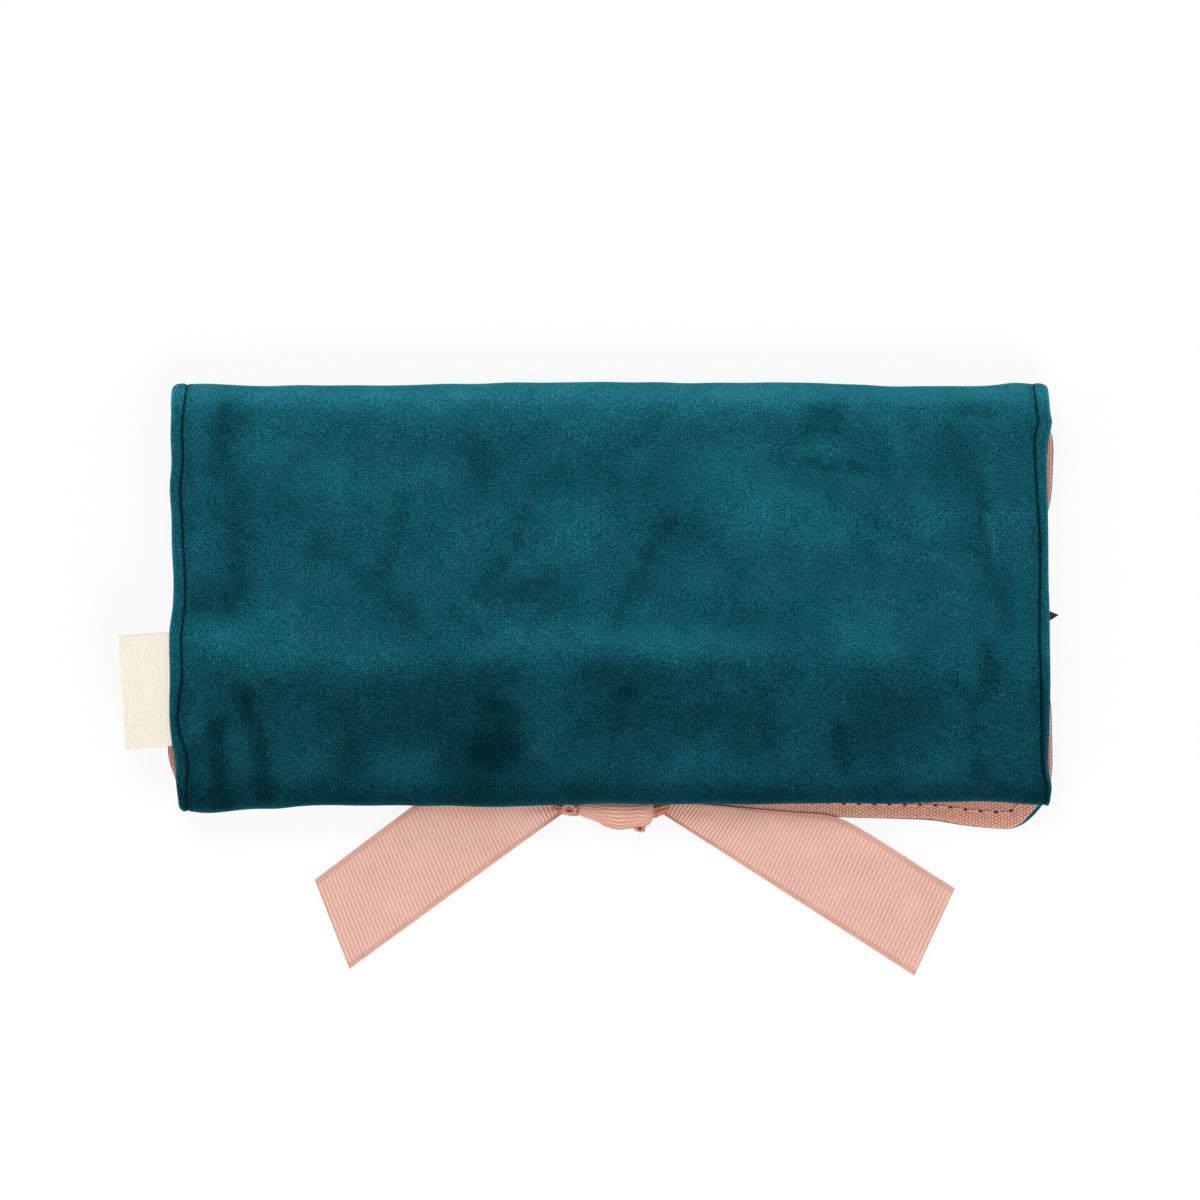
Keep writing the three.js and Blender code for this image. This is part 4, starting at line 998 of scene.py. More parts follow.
def topstitch(part, lines):
    line, normal = outward_line(lines, 1)
    rows = [(line, -face_side(part, normal))]
    # Rose thread between dark marks that paint the shade in the needle holes
    for key, thread, length, radius, shift in (
        ("stitches", rose_thread, 2.9 * MM, 0.19 * MM, 0.0),
        ("needle_hole_shade_marks", hole_shade_finish, 0.95 * MM, 0.24 * MM, 0.5),
    ):
        piece = dashes(f"{part}_lining_{key}", rows, TOPSTITCH_PITCH, length, radius, TOPSTITCH_LIFT, shift)
        settle(piece, thread)
        bend(piece, part)


def wadding_pad(part):
    """The padding between the cloths, a little in from their seam."""
    start, end = COVER_PARTS[part]
    start = flap_low.y - TOP_Y + PAD_ENDS[0] if start is None else start
    end = S_END - PAD_ENDS[1] if end is None else end
    rows = rows_between(start, end, PAD_STEP)
    left, right = side_tables(rows)[:2]
    shares = np.linspace(0, 1, PAD_COLUMNS)
    x = (left + PAD_INSET)[:, None] + (right - left - 2 * PAD_INSET)[:, None] * shares
    s = rows[:, None] + 0 * x
    rim = np.minimum(x - x[:, :1], x[:, -1:] - x)
    thin = PAD_ROUND * (1 - smoothstep(0, PAD_RIM, rim))
    outer = PAD_DEPTHS[0] + 0.3 * MM * np.exp(-rim / PILLOW_REACH) - velvet_bulge(x, s) + thin
    sides = [stack(x, *path(s, depth - fold_bulge(x, s))) for depth in (outer, PAD_DEPTHS[1] - thin)]
    index = np.arange(x.size).reshape(x.shape)
    loop = np.concatenate([index[0, :-1], index[:-1, -1], index[-1, :0:-1], index[:0:-1, 0]])
    next_loop = np.roll(loop, -1)
    walls = stack(loop, next_loop, next_loop + x.size, loop + x.size)
    faces = np.vstack([grid_faces(index), grid_faces(index + x.size)[:, ::-1], walls])
    piece = make_piece(f"{part}_wadding_pad", np.concatenate([p.reshape(-1, 3) for p in sides]), faces)
    finish_mesh(piece)
    settle(piece, wadding)
    bend(piece, part)
    return piece


def padded_cloths():
    for part, (start, end) in COVER_PARTS.items():
        cover, lines = cloth_cover(f"{part}_velvet_cover", VELVET, part)
        settle(cover, velvet, replaces=[f"{panel}_velvet" for panel in PANELS[part]])
        seam_stitches(part, lines)
        pad = wadding_pad(part)
        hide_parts(*[f"{panel}_wadding" for panel in PANELS[part]])
        lining, lines = cloth_cover(f"{part}_lining_cloth", LINING, part)
        settle(lining, canvas, replaces=[f"{panel}_lining" for panel in PANELS[part]])
        if start is None or end is None:
            topstitch(part, lines)


padded_cloths()


# Slabs: closed sheets with rounded rims, laid over a surface
RIM_SHARES = np.array([0, 0.1, 0.35, 0.7])
PROBE = 1e-4


def spaced(length, step, rim):
    near = rim * RIM_SHARES
    return np.concatenate([near, even(rim, length - rim, step), length - near[::-1]])


def slab(name, surface, size, thickness, steps, relief=None, extra=None, across=None):
    """surface gives the middle of the sheet for two shares, across and along, and relief swells it."""
    width, length = size
    rim = thickness / 2 * 1.15
    across = spaced(width, steps[0], rim) if across is None else across
    a, b = np.meshgrid(across, spaced(length, steps[1], rim), indexing="xy")
    u, v = a / width, b / length
    middle = surface(u, v)
    du = surface(np.minimum(u + PROBE, 1), v) - surface(np.maximum(u - PROBE, 0), v)
    dv = surface(u, np.minimum(v + PROBE, 1)) - surface(u, np.maximum(v - PROBE, 0))
    edge = np.minimum(np.minimum(a, width - a), np.minimum(b, length - b))
    share = np.clip(edge / rim, 0, 1)
    height = thickness / 2 * np.sqrt(np.maximum(1 - (1 - share) ** 2, 0))
    if relief:
        height = height + relief(a, b) * share
    offset = unit(np.cross(du, dv)) * height[..., None]
    index = np.arange(a.size).reshape(a.shape)
    inner = np.zeros(a.shape, bool)
    inner[1:-1, 1:-1] = True
    other = index.copy()
    other[inner] = a.size + np.arange(inner.sum())

    def both(upper, under):
        return np.concatenate([upper.reshape(-1, *upper.shape[2:]), under[inner]])

    values = {"weave": stack(a, b, edge), **{key: function(a, b) for key, function in (extra or {}).items()}}
    attributes = [(key, both(value, value)) for key, value in values.items()]
    faces = np.vstack([grid_faces(index), grid_faces(other)[:, ::-1]])
    return make_piece(name, both(middle + offset, middle - offset), faces, attributes)


# Grosgrain: ribs across the ribbon, with a plainer selvedge at each side
RIB_PITCH = 1.04 * MM
SELVEDGE = 1.2 * MM
SELVEDGE_COLUMNS = np.array([0, 0.03, 0.09, 0.18, 0.3, 0.45, 0.62, 0.8, 0.95, 1.1, 1.3, 1.6]) * MM
RIBBON_STEP = 1.3 * MM


def rib_wave(a, b, width):
    side = np.minimum(a, width - a)
    inside = smoothstep(0.8, 1.2, side / SELVEDGE)
    wave = 0.5 + 0.5 * np.cos(2 * np.pi * b / RIB_PITCH)
    picot = 0.1 + 0.34 * np.cos(2 * np.pi * (b / (0.6 * RIB_PITCH) + 0.5 * side / SELVEDGE))
    picot = picot + 0.2 * bell(side, 0.15 * MM, 0.15 * MM)
    return wave * inside + picot * (1 - inside) - 0.2 * bell(side, SELVEDGE, 0.14 * MM)


def ribbon_slab(name, surface, size, thickness, height=0.075 * MM, place=lambda b: b, shade=None):
    """place gives the length that the ribs are counted by, and shade darkens the valleys between them."""
    width = size[0]

    def relief(a, b):
        inside = smoothstep(0.7, 1.25, np.minimum(a, width - a) / SELVEDGE)
        return height * (rib_wave(a, place(b), width) - 0.5) * (0.6 + 0.4 * inside)

    # Painted shade in the valleys between the ribs, light on their crests
    def rib_shading(a, b):
        wave = rib_wave(a, place(b), width)
        return wave - (shade(a, b) * (1 - wave) if shade else 0)

    middle = even(2 * MM, width - 2 * MM, RIBBON_STEP)
    across = np.concatenate([SELVEDGE_COLUMNS, middle, width - SELVEDGE_COLUMNS[::-1]])
    piece = slab(name, surface, size, thickness, (RIBBON_STEP, RIB_PITCH / 6), relief, {"rib_shading": rib_shading}, across)
    return settle(piece, ribbon)


# Ribbon tails: from the knot over the flap's free edge down to the table. Lead lets the upper selvedge run
# ahead of the lower one, and crowded is how far the ribs stand closer at the knot.
RIBBON_WIDTH = 22.4 * MM
RIBBON_THICKNESS = 0.45 * MM
DRAPE = 9 * MM
TAIL_LIFT, TAIL_DROP = 0.34 * MM, 0.34 * MM - PANEL
KNOT_LIFT, TABLE_WAVE = 2.6 * MM, 0.16 * MM
tail_noise = wave_noise(31, 14, 60, 18)
TAILS = {
    "left": {
        "lower": [(-11.6, -53.0), (-30, -66.4), (-63.2, -90.7)],
        "upper": [(-12.2, -50.6), (-19, -45.8), (-30, -43.4), (-40.5, -45.8), (-48, -51.3), (-71.6, -69.1)],
        "lead": [(0, 0), (0.078, 0.169), (0.172, 0.265), (0.357, 0.414), (0.626, 0.664), (1, 1)],
        "crowded": 3 * MM, "fold": 0.14 * MM, "crease_shade": 0,
    },
    "right": {
        "lower": [(12.4, -52.9), (33, -66.2), (73.6, -92.3)],
        "upper": [
            (13.0, -50.4), (19.5, -50.4), (30, -51.4), (44, -52.6), (52, -53.2), (56.6, -54.6), (83.4, -71.2),
        ],
        "lead": [(0, 0), (0.069, 0.1), (0.125, 0.16), (0.306, 0.33), (0.6, 0.61), (1, 1)],
        "crowded": 8 * MM, "fold": 0.0, "crease_shade": 0.25,
    },
}


def tail_surface(tail, u, v):
    low = smooth_line(tail["lower"], v)
    high = smooth_line(tail["upper"], curve(tail["lead"], v * MM) / MM)
    # Where the ribbon is gathered, its lower selvedge keeps its width and the rest is crowded
    gathered = np.clip(RIBBON_WIDTH / np.linalg.norm(high - low, axis=-1) - 1, 0, 7)
    share = u + gathered * u * np.exp(-u / 0.07)
    plan = low + (high - low) * share[..., None]
    x, y = plan[..., 0], plan[..., 1]
    past = curve(FLAP_EDGE, x) - 1 * MM - y
    root = 1 - smoothstep(0, 0.3, v)
    fold = tail["fold"] * smoothstep(0.3, 0.75, root)
    z = PANEL + TAIL_LIFT + TAIL_DROP * smoothstep(0, DRAPE, past)
    z = z + KNOT_LIFT * root**2 + fold * (1 + np.cos(2 * np.pi * (3 * u + 0.2)))
    table = smoothstep(DRAPE, 2 * DRAPE, past)
    z = z + (TABLE_WAVE * (1 + tail_noise(x, y)) * (1 - root)) * (0.4 + 0.6 * table)
    return stack(x, y, z)


def ribbon_tail(side, tail):
    crowded = tail["crowded"]

    def surface(u, v):
        return tail_surface(tail, u, v)

    def place(b):
        # The ribs stand closer where the ribbon is gathered into the knot
        return b + 0.55 * crowded * (1 - np.exp(-b / crowded))

    def shade(a, b):
        # Painted shade near the knot, and along a crease across the right tail
        crease_shade = tail["crease_shade"] * bell(b - 0.2 * a, 13 * MM, 2.2 * MM)
        return 0.7 * np.exp(-((b / (crowded + 2 * MM)) ** 2)) + crease_shade

    length = run_along(surface(np.full(60, 0.4), np.linspace(0, 1, 60)))[-1]
    size = (RIBBON_WIDTH, length)
    piece = ribbon_slab(f"{side}_ribbon_end", surface, size, RIBBON_THICKNESS, place=place, shade=shade)
    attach(piece, f"{side}_tail")
    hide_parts(f"{side}_ribbon_tail")


for tail_side, tail_shape in TAILS.items():
    ribbon_tail(tail_side, tail_shape)

# The knot: a wrap round a gathered core, with small curls where the ribbon is pulled through
WRAP_LEFT, WRAP_RIGHT = -7.8 * MM, 10.35 * MM
WRAP_FRONT = [
    (-8.2, -52.6), (-7.2, -53.5), (-5.4, -54.2), (-3.5, -54.9), (-1.5, -55.7), (0.0, -56.5), (1.9, -56.9),
    (4.3, -56.7), (7.0, -56.4), (8.6, -56.2), (9.6, -55.3), (10.2, -54.0), (10.6, -52.9),
]
WRAP_BACK_Y = -49.75 * MM
WRAP_CLOTH = 0.5 * MM
WRAP_TALL, WRAP_TURNS, WRAP_RIBS = 3.3 * MM, 1.04, 0.93
WRAP_AROUND = 2 * math.pi * 3.1 * MM * WRAP_TURNS
WRAP_RELIEF = 0.14 * MM
CORE_LINE = [
    (-14.0, -51.2), (-9.0, -52.0), (-5.0, -51.9), (1.2, -52.6), (6.0, -52.4), (9.5, -52.2), (14.6, -51.1),
]
CORE_RADIUS = [
    (-15, 0.8), (-12, 1.2), (-9.0, 1.35), (-6.5, 1.1), (0, 1.6), (7, 1.6), (10.5, 1.75), (12.3, 1.5),
    (13.5, 1.2), (15, 0.9),
]
PLEAT_LINE = [(-3.7, -53.9), (-1.9, -54.9), (-0.4, -55.9)]
PLEAT_RADIUS = [(-4, 0.5), (-1.9, 0.75), (0, 0.5)]


def wrap_surface(u, v):
    x = WRAP_LEFT + (WRAP_RIGHT - WRAP_LEFT) * u
    front = curve(WRAP_FRONT, x)
    half = (WRAP_BACK_Y - front) / 2
    tall = np.minimum(half, WRAP_TALL)
    angle = np.pi - 2 * np.pi * WRAP_TURNS * v + 0.04 * np.pi
    grow = WRAP_CLOTH * (0.6 - 1.2 * v)
    cz = PANEL + 0.35 * MM + WRAP_CLOTH / 2 + tall + 0.9 * MM * (1 - tall / WRAP_TALL)
    out = 1 - WRAP_CLOTH / 2 / half - grow / half
    return stack(x, front + half - half * out * np.sin(angle), cz + tall * out * np.cos(angle))


def wrap_rib(a, b):
    """Ribs lie along X and step down where the ribbon is pulled tight."""
    x, b = WRAP_LEFT / MM + a / MM, b / MM
    step = -0.75 * smoothstep(-3.2, -0.6, x) + 0.16 * bell(x, 5.2, 0.7) - 0.12 * bell(x, 6.6, 0.6)
    step = step + 0.18 * bell(x, -4.6, 1.0)
    wander = 0.05 * np.sin(1.9 * x + 1.2 * b) + 0.04 * np.sin(3.7 * x - 0.8 * b + 1)
    wave = 0.5 + 0.5 * np.cos(2 * np.pi * ((b + step) / WRAP_RIBS + wander))
    wave = 1 - (1 - wave) ** 1.8
    band = smoothstep(0, 1.0, (WRAP_RIGHT / MM - 1.9 - x)) * smoothstep(0.5, 2.2, x - WRAP_LEFT / MM)
    band = band * (0.72 + 0.28 * np.sin(0.9 * x + 0.7 * b))
    return wave * band + 0.5 * (1 - band)


TUBE_SIDES, TUBE_RINGS, TUBE_END = 56, 90, 1.0 * MM
CURL_SIDES = 60


def tube_piece(name, points, attributes):
    """A closed tube from rings of points, with its attributes in the same rings."""
    rings, sides = points.shape[:2]
    flat = [(key, values.reshape(rings * sides, *values.shape[2:])) for key, values in attributes]
    piece = make_piece(name, points, tube_faces(rings, sides), flat)
    finish_mesh(piece)
    return piece


def round_end(way, least):
    """A round end's share of the tube's radius, at a share of the way in from its tip."""
    return np.sqrt(np.clip(1 - (1 - way) ** 2, least, 1))


def gathered_tube(name, line, radii, height, pleats):
    """A closed tube along a line, its skin gathered into lengthwise pleats."""
    v = np.linspace(0, 1, TUBE_RINGS)
    centre = smooth_line(line, v)
    end = np.minimum(v, 1 - v) * np.ptp(centre[:, 0])
    radius = curve(radii, centre[:, 0]) * round_end(np.clip(end / TUBE_END, 0, 1), 0.0009)
    turn, where = np.meshgrid(np.arange(TUBE_SIDES) * 2 * np.pi / TUBE_SIDES, centre[:, 0])
    fold = 0.1 * np.cos(pleats * turn + 260 * where)
    fold = fold + 0.05 * np.cos((2 * pleats + 1) * turn - 400 * where + 1)
    fold = fold + 0.05 * np.cos(4200 * where + 3 * turn)
    size = radius[:, None] * (1 + fold)
    points = stack(where, centre[:, 1:2] + size * np.cos(turn), height + size * np.sin(turn))
    weave = stack(where, turn * 1.6 * MM, 0 * turn)
    # Painted shade in the hollows of the pleats, light on their ridges
    return tube_piece(name, points, [("weave", weave), ("rib_shading", np.clip(0.3 + 3.2 * fold, -0.5, 1))])


# A rolled end of ribbon: radius and height over the outside, then down the hole as a share of its radius
CURL_OUTSIDE = [
    (0.6, -0.02), (1, 0), (1.04, 0.2), (1.04, 0.5), (0.98, 0.74), (0.86, 0.9), (0.7, 0.98), (0.55, 0.96),
    (0.42, 0.86),
]
CURL_HOLE = [(1, 0.7), (0.3 / 0.34, 0.45), (0.26 / 0.34, 0.25), (0.12 / 0.34, 0.2)]


def curl(name, centre, size, hole, height, ribs, lean):
    """A rolled end of ribbon, seen into its middle, which is painted dark as shade: a ring of cloth with a
    floor.
    """
    turn = np.arange(CURL_SIDES) * 2 * np.pi / CURL_SIDES
    points, rib_shading = [], []
    for r, z in CURL_OUTSIDE + [(share * hole, z) for share, z in CURL_HOLE]:
        wave = np.cos(ribs * turn) * (0.035 if r > hole else 0)
        lobe = 1 + 0.07 * np.cos(2 * turn + 0.7) + 0.05 * np.cos(3 * turn + 2) + wave
        spiral = 0.12 * turn / (2 * np.pi)
        points.append(stack(
            centre[0] + size[0] * r * lobe * np.cos(turn), centre[1] + size[1] * r * lobe * np.sin(turn),
            centre[2] + height * (z - spiral * z) + lean * size[1] * r * np.sin(turn),
        ))
        # Painted shade between the small ribs and, darker, down the hole
        rib_shading.append(0.35 + 0.5 * np.cos(ribs * turn + 1.2 * r) - (0.8 if r < hole + 0.02 else 0))
    points = np.array(points)
    piece = tube_piece(name, points, [("weave", points), ("rib_shading", np.array(rib_shading))])
    settle(piece, shaded_knot_cloth, "flap")


def knot():
    # The wrap's ribs are also painted: shade in their valleys, light on their crests
    wrap = slab(
        "knot_wrap", wrap_surface, (WRAP_RIGHT - WRAP_LEFT, WRAP_AROUND), WRAP_CLOTH, (0.35 * MM, 0.13 * MM),
        lambda a, b: WRAP_RELIEF * (wrap_rib(a, b) - 0.5), {"rib_shading": wrap_rib},
    )
    settle(wrap, shaded_knot_cloth, "flap", ["tie_knot_wrap"])
    core = gathered_tube("knot_core", CORE_LINE, CORE_RADIUS, PANEL + 3.1 * MM, 7)
    settle(core, shaded_gather_cloth, "flap", ["tie_knot_core"])
    z = PANEL + 0.4 * MM
    curl("knot_curl_left", (-10.0 * MM, -51.75 * MM, z), (1.95 * MM, 1.7 * MM), 0.15, 5.4 * MM, 11, 0.1)
    curl("knot_curl_middle", (-7.75 * MM, -52.0 * MM, z), (0.95 * MM, 1.35 * MM), 0.1, 4.6 * MM, 7, 0.1)
    front = (7.1 * MM, -56.35 * MM, z + 0.6 * MM)
    curl("knot_curl_front", front, (1.3 * MM, 1.15 * MM), 0.16, 4.9 * MM, 7, -0.05)
    pleat = gathered_tube("knot_pleat", PLEAT_LINE, PLEAT_RADIUS, PANEL + 3.6 * MM, 5)
    settle(pleat, shaded_knot_cloth, "flap")


knot()


# Flat cloths that fill a CAD node's box
def centre_of(node):
    low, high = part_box(node)
    return (low + high) / 2, high - low


def box_surface(node, z=None, shape=None):
    """The plan of a node's box, at its middle height or at z. shape lifts it."""
    middle, size = centre_of(node)
    level = middle.z if z is None else z

    def surface(u, v):
        x, y = middle.x + (u - 0.5) * size.x, middle.y + (v - 0.5) * size.y
        return stack(x, y, level + (shape(u * size.x, v * size.y, size) if shape else 0 * x))

    return surface, (size.x, size.y)


def box_sheet(name, node, thickness, finish, body, steps, z=None, shape=None, extra=None):
    piece = slab(name, *box_surface(node, z, shape), thickness, steps, None, extra)
    return settle(piece, finish, body, [node])


cloth_noise = wave_noise(41, 16, 70, 14)
POCKET_STEPS = (2.2 * MM, 1.6 * MM)
POCKET_STITCH = (3.4 * MM, 2.4 * MM)
TAPE_STEPS, CLOTH_STEPS, TAB_STEPS = (1.5 * MM, 0.5 * MM), (0.6 * MM, 0.6 * MM), (0.5 * MM, 0.5 * MM)
ZIP_POCKETS = (("upper", "pocket_upper_panel", -1), ("lower", "pocket_lower_panel", 1))


def pocket_shape(open_side, rise):
    """A pocket cloth that drops to its sewn sides by rise. Its open side is at the given end of Y."""
    def shape(a, b, size):
        sewn = np.minimum(np.minimum(a, size.x - a), b if open_side > 0 else size.y - b)
        edge = 1 - smoothstep(0.3 * MM, 2.6 * MM, sewn)
        return rise * edge - 0.12 * MM * cloth_noise(a, b) * smoothstep(0, 8 * MM, sewn)

    return shape


def pocket_stitches(name, lines, up, radius, body):
    rows = [(np.array(line), np.tile([0, 0, up], (2, 1))) for line in lines]
    settle(dashes(name, rows, *POCKET_STITCH, radius), rose_thread, body)


def zip_pocket(name, node, open_side):
    low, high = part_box(node)
    face = low.z + 0.25 * MM
    shape = pocket_shape(open_side, high.z - face - 0.3 * MM)
    piece = box_sheet(
        f"zip_pocket_{name}_cloth", node, 0.5 * MM, canvas, "back", POCKET_STEPS, face, shape
    )
    y = (low.y if open_side < 0 else high.y) - open_side * 1.8 * MM
    line = [(low.x + 3 * MM, y, low.z), (high.x - 3 * MM, y, low.z)]
    pocket_stitches(f"zip_pocket_{name}_stitches", [line], -1.0, 0.17 * MM, "back")


def slip_pocket():
    low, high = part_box("inner_slip_pocket")
    sewn, inset = high.z - 0.2 * MM, 1.5 * MM
    piece = box_sheet(
        "slip_pocket_cloth", "inner_slip_pocket", 0.35 * MM, canvas, "inner_panel", POCKET_STEPS,
        sewn, lambda a, b, size: -pocket_shape(1, 0.3 * MM)(a, b, size),
    )
    x0, x1, y0, y1, hem = low.x + inset, high.x - inset, low.y + inset, high.y - inset, high.y - 2 * inset
    lines = [
        [(x0, y0, sewn), (x1, y0, sewn)], [(x0, hem, high.z), (x1, hem, high.z)],
        [(x0, y0, sewn), (x0, y1, sewn)], [(x1, y0, sewn), (x1, y1, sewn)],
    ]
    pocket_stitches("slip_pocket_stitches", lines, 1.0, 0.16 * MM, "inner_panel")


for pocket in ZIP_POCKETS:
    zip_pocket(*pocket)
slip_pocket()
for tape_node in ("zip_tape_upper", "zip_tape_lower"):
    box_sheet(f"{tape_node}_cloth", tape_node, 0.5 * MM, tape, "back", TAPE_STEPS)
box_sheet("ring_bar_anchor_cloth", "ring_bar_anchor", 0.75 * MM, canvas, "flap", CLOTH_STEPS)


def tie_end(name, node, body):
    surface, size = box_surface(node)
    piece = ribbon_slab(name, surface, size, 0.32 * MM, 0.05 * MM)
    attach(piece, body)
    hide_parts(node)
    return piece, size


tie_end("flap_tie_end", "flap_tie_root", "flap")
tie_end("inner_tie_end", "inner_tie_lead", "flap")
panel_tie, panel_tie_size = tie_end("inner_panel_tie", "inner_tie_root", "inner_panel")

# The label, caught in the left seam: bare woven cloth
LABEL_CORNERS = np.array([(-118.2, -9.96), (-105.5, -9.0), (-105.3, -36.4), (-116.5, -37.3)]) * MM
LABEL_SIZE = (12.7 * MM, 27.4 * MM)


def label_surface(u, v):
    a, b, c, d = LABEL_CORNERS
    top = a + (b - a) * u[..., None]
    plan = top + (d + (c - d) * u[..., None] - top) * v[..., None]
    wave = 0.25 * MM * np.sin(2.4 * np.pi * v + 0.5) * (1 - u) + 0.12 * MM * np.sin(5 * np.pi * v) * (1 - u)
    z = centre_of("side_label")[0].z - 0.5 * MM * (1 - u) ** 2 + wave
    return stack(plan[..., 0], plan[..., 1], z)


side_label = slab("side_label_cloth", label_surface, LABEL_SIZE, 0.5 * MM, (0.5 * MM, 0.5 * MM))
settle(side_label, label_cloth, "back", ["side_label"])

# The ring bar: a velvet sleeve closed at its right end, its filling, tab and strap
# How far the tab reaches into the sleeve, and the lengths over which its ends close, in millimetres
TAB_IN_BAR = 1.2
END_CLOSE, START_CLOSE = 1.6, 1.2
TAB_DROP = 4.2 * MM
SLEEVE_SIDES, SLEEVE_RINGS, SLEEVE_WRAP = 72, 170, 4.5 * MM
STRAP_LENGTH = 21 * MM


def ring_bar():
    middle, size = centre_of("ring_bar_cover")
    left, right = (middle.x - size.x / 2) / MM, (middle.x + size.x / 2) / MM
    x, y = middle.x / MM, middle.y / MM
    r = size.z / 2 / MM - 0.3
    radii = [(left, r - 0.4), (left + 4, r), (x, r + 0.1), (right - 4, r), (right, r - 0.6)]
    sleeve = bar_sleeve(left - TAB_IN_BAR, right, y, middle.z, radii)
    settle(sleeve, velvet, "ring_bar", ["ring_bar_cover"])
    line = [(left + 0.5, y), (x, y), (right - 1.5, y)]
    filling = gathered_tube("ring_bar_wadding", line, [(a, b - 1.2) for a, b in radii], middle.z, 5)
    settle(filling, wadding, "ring_bar", ["ring_bar_filling"])
    box_sheet(
        "ring_bar_tab_cloth", "ring_bar_tab", 0.9 * MM, velvet, "ring_bar", TAB_STEPS,
        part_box("ring_bar_tab")[0].z + 0.5 * MM, lambda a, b, size: TAB_DROP * smoothstep(0.6 * MM, size.x, a),
        {"pile_and_painted_light": lambda a, b: 0 * a},
    )


def bar_sleeve(left, right, y, z, radii):
    """A stuffed tube of velvet along X, puckered where it is sewn shut. All but z is in millimetres."""
    x = left + (right - left) * (0.5 - 0.5 * np.cos(np.pi * np.linspace(0, 1, SLEEVE_RINGS)))
    end, start = np.clip((right - x) / END_CLOSE, 0, 1), np.clip((x - left) / START_CLOSE, 0, 1)
    radius = curve(radii, x * MM) / MM * round_end(end, 0.001) * round_end(start, 0.001)
    turn, where = np.meshgrid(np.arange(SLEEVE_SIDES) * 2 * np.pi / SLEEVE_SIDES, x)
    gather = np.exp(-(right - where) / 3.0) + np.exp(-(where - left) / 3.0)
    dent = dent_noise(where * MM, 9 * MM * np.cos(turn)) * 0.1 + 0.16 * gather * np.cos(14 * turn)
    seam = -0.3 * np.exp(-((turn - 4.4) / 0.07) ** 2)
    size = (radius[:, None] + (dent + seam) * np.minimum(end, start)[:, None]) * MM
    points = stack(where * MM, y * MM + size * np.cos(turn), z + size * np.sin(turn))
    weave = stack(where * MM, turn * SLEEVE_WRAP, 0 * turn)
    # Painted shade and light that follow the dents and the puckers by the sewn ends
    lie_and_painted_light = 0.25 * nap_noise(where * MM, turn * SLEEVE_WRAP) + 1.2 * dent
    return tube_piece("ring_bar_sleeve", points, [("weave", weave), ("pile_and_painted_light", lie_and_painted_light)])


def bar_strap():
    low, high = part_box("ring_bar_strap")
    wide, bend_x = high.y - low.y, low.x + 4 * MM
    heights = [
        (low.x - 0.6 * MM, 3.0 * MM), (low.x + 1.2 * MM, 2.4 * MM), (bend_x, 0.5 * MM),
        (bend_x + 3 * MM, 0.3 * MM), (high.x, 0.3 * MM),
    ]
    points = [(x / MM, (low.z + height) / MM) for x, height in heights]

    def surface(u, v):
        line = smooth_line(points, v)
        return stack(line[..., 0], (low.y + high.y) / 2 + (u - 0.5) * wide, line[..., 1])

    piece = slab("ring_bar_strap_cloth", surface, (wide, STRAP_LENGTH), 0.55 * MM, CLOTH_STEPS)
    settle(piece, canvas, "ring_bar", ["ring_bar_strap"])


ring_bar()
bar_strap()

# Hard parts keep their CAD shape, with softened edges
BRASS_NODES = (
    "press_stud_base", "press_stud_socket", "press_stud_cap", "zip_teeth_upper", "zip_teeth_lower",
    "zip_top_stop_upper", "zip_top_stop_lower", "zip_bottom_stop", "zip_slider", "zip_pull_ring",
)


def hard_part(node, material, edge):
    solid = frame["nodes"][node]
    for holder in solid.material_slots:
        holder.link = "OBJECT"
        holder.material = material
    bevel = solid.modifiers.new("edges", "BEVEL")
    bevel.width = edge
    bevel.segments = 2
    bevel.limit_method = "ANGLE"
    bevel.angle_limit = math.radians(35)


hard_part("zip_pull_tag", leather, 0.12 * MM)
for brass_node in BRASS_NODES:
    hard_part(brass_node, brass, 0.06 * MM)

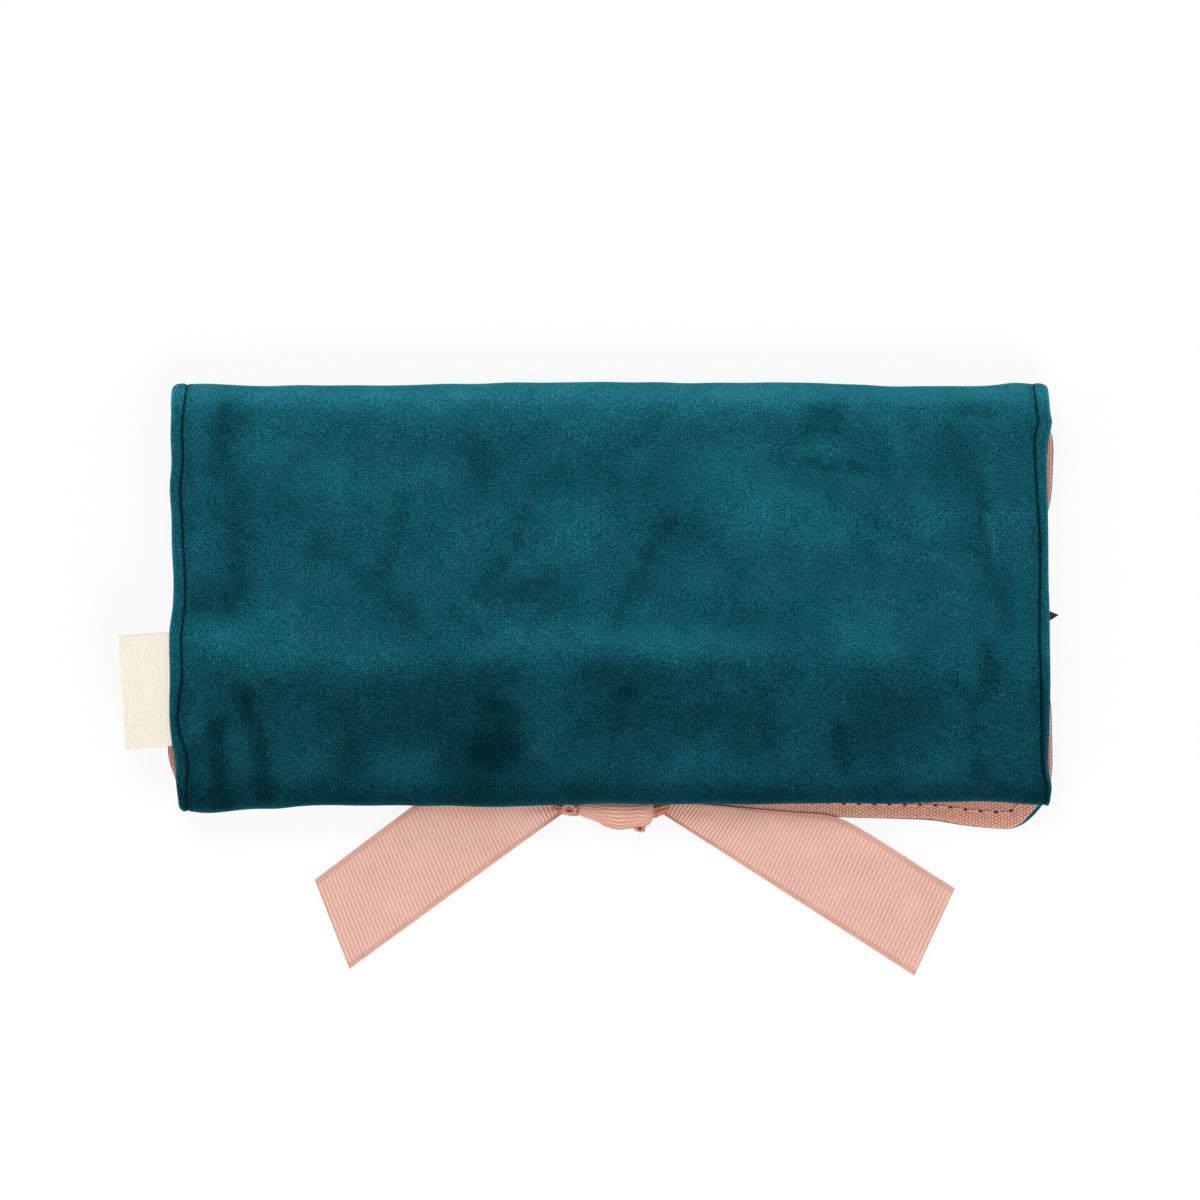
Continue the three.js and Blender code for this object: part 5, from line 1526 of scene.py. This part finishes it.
# Floor and light. Each lamp has its place, its size and its power.
FLOOR_SIZE, FLOOR_DROP = 3.0, 0.05 * MM
FLOOR_GLOW_SHARE = 0.88
LAMPS = {
    "key": ((-0.3, 0.75, 1.35), 0.8, 6.7),
    "fill": ((0.35, -0.9, 1.25), 1.2, 10.5),
    "left": ((-1.3, -0.2, 0.55), 0.8, 5.0),
    "right": ((1.3, -0.1, 0.55), 0.8, 5.0),
}
WORLD_STRENGTH = 0.38


def floor():
    f = Finish("floor", Base_Color=(0.93, 0.93, 0.93, 1), Roughness=0.9)
    glow = f.add("Emission", {"Color": (1, 1, 1, 1), "Strength": 1.0})
    light = f.add("LightPath").outputs
    # Rays that see the floor get its white, apart from the share that keeps the shadow
    rays = f.math("MAXIMUM", light["Is Glossy Ray"], light["Is Transmission Ray"])
    values = {0: light["Is Camera Ray"], 1: FLOOR_GLOW_SHARE, 2: rays}
    seen = f.add("Math", values, operation="MULTIPLY_ADD").outputs[0]
    mix = f.add("MixShader", {0: seen, 1: f.shader.outputs[0], 2: glow.outputs[0]})
    f.tree.links.new(mix.outputs[0], f.tree.nodes["Material Output"].inputs["Surface"])
    z = min(cad_box[0][2], 0.0) - FLOOR_DROP
    corners = [(x * FLOOR_SIZE, y * FLOOR_SIZE, z) for x, y in ((-1, -1), (1, -1), (1, 1), (-1, 1))]
    plane = make_piece("floor", corners, [(0, 1, 2, 3)])
    plane.data.materials.append(f.material)


def lamp(name, place, size, power):
    """A square lamp that shines on the origin."""
    data = bpy.data.lights.new(name, "AREA")
    data.shape = "SQUARE"
    data.size = size
    data.energy = power
    light = bpy.data.objects.new(name, data)
    bpy.context.scene.collection.objects.link(light)
    light.location = place
    light.rotation_euler = (-Vector(place)).to_track_quat("-Z", "Y").to_euler()


def world():
    studio = bpy.data.worlds.new("studio")
    studio.use_nodes = True
    background = studio.node_tree.nodes["Background"]
    background.inputs["Color"].default_value = (1, 1, 1, 1)
    background.inputs["Strength"].default_value = WORLD_STRENGTH
    bpy.context.scene.world = studio


floor()
for lamp_name, lamp_values in LAMPS.items():
    lamp(lamp_name, *lamp_values)
world()
bpy.context.scene.view_settings.view_transform = "Standard"
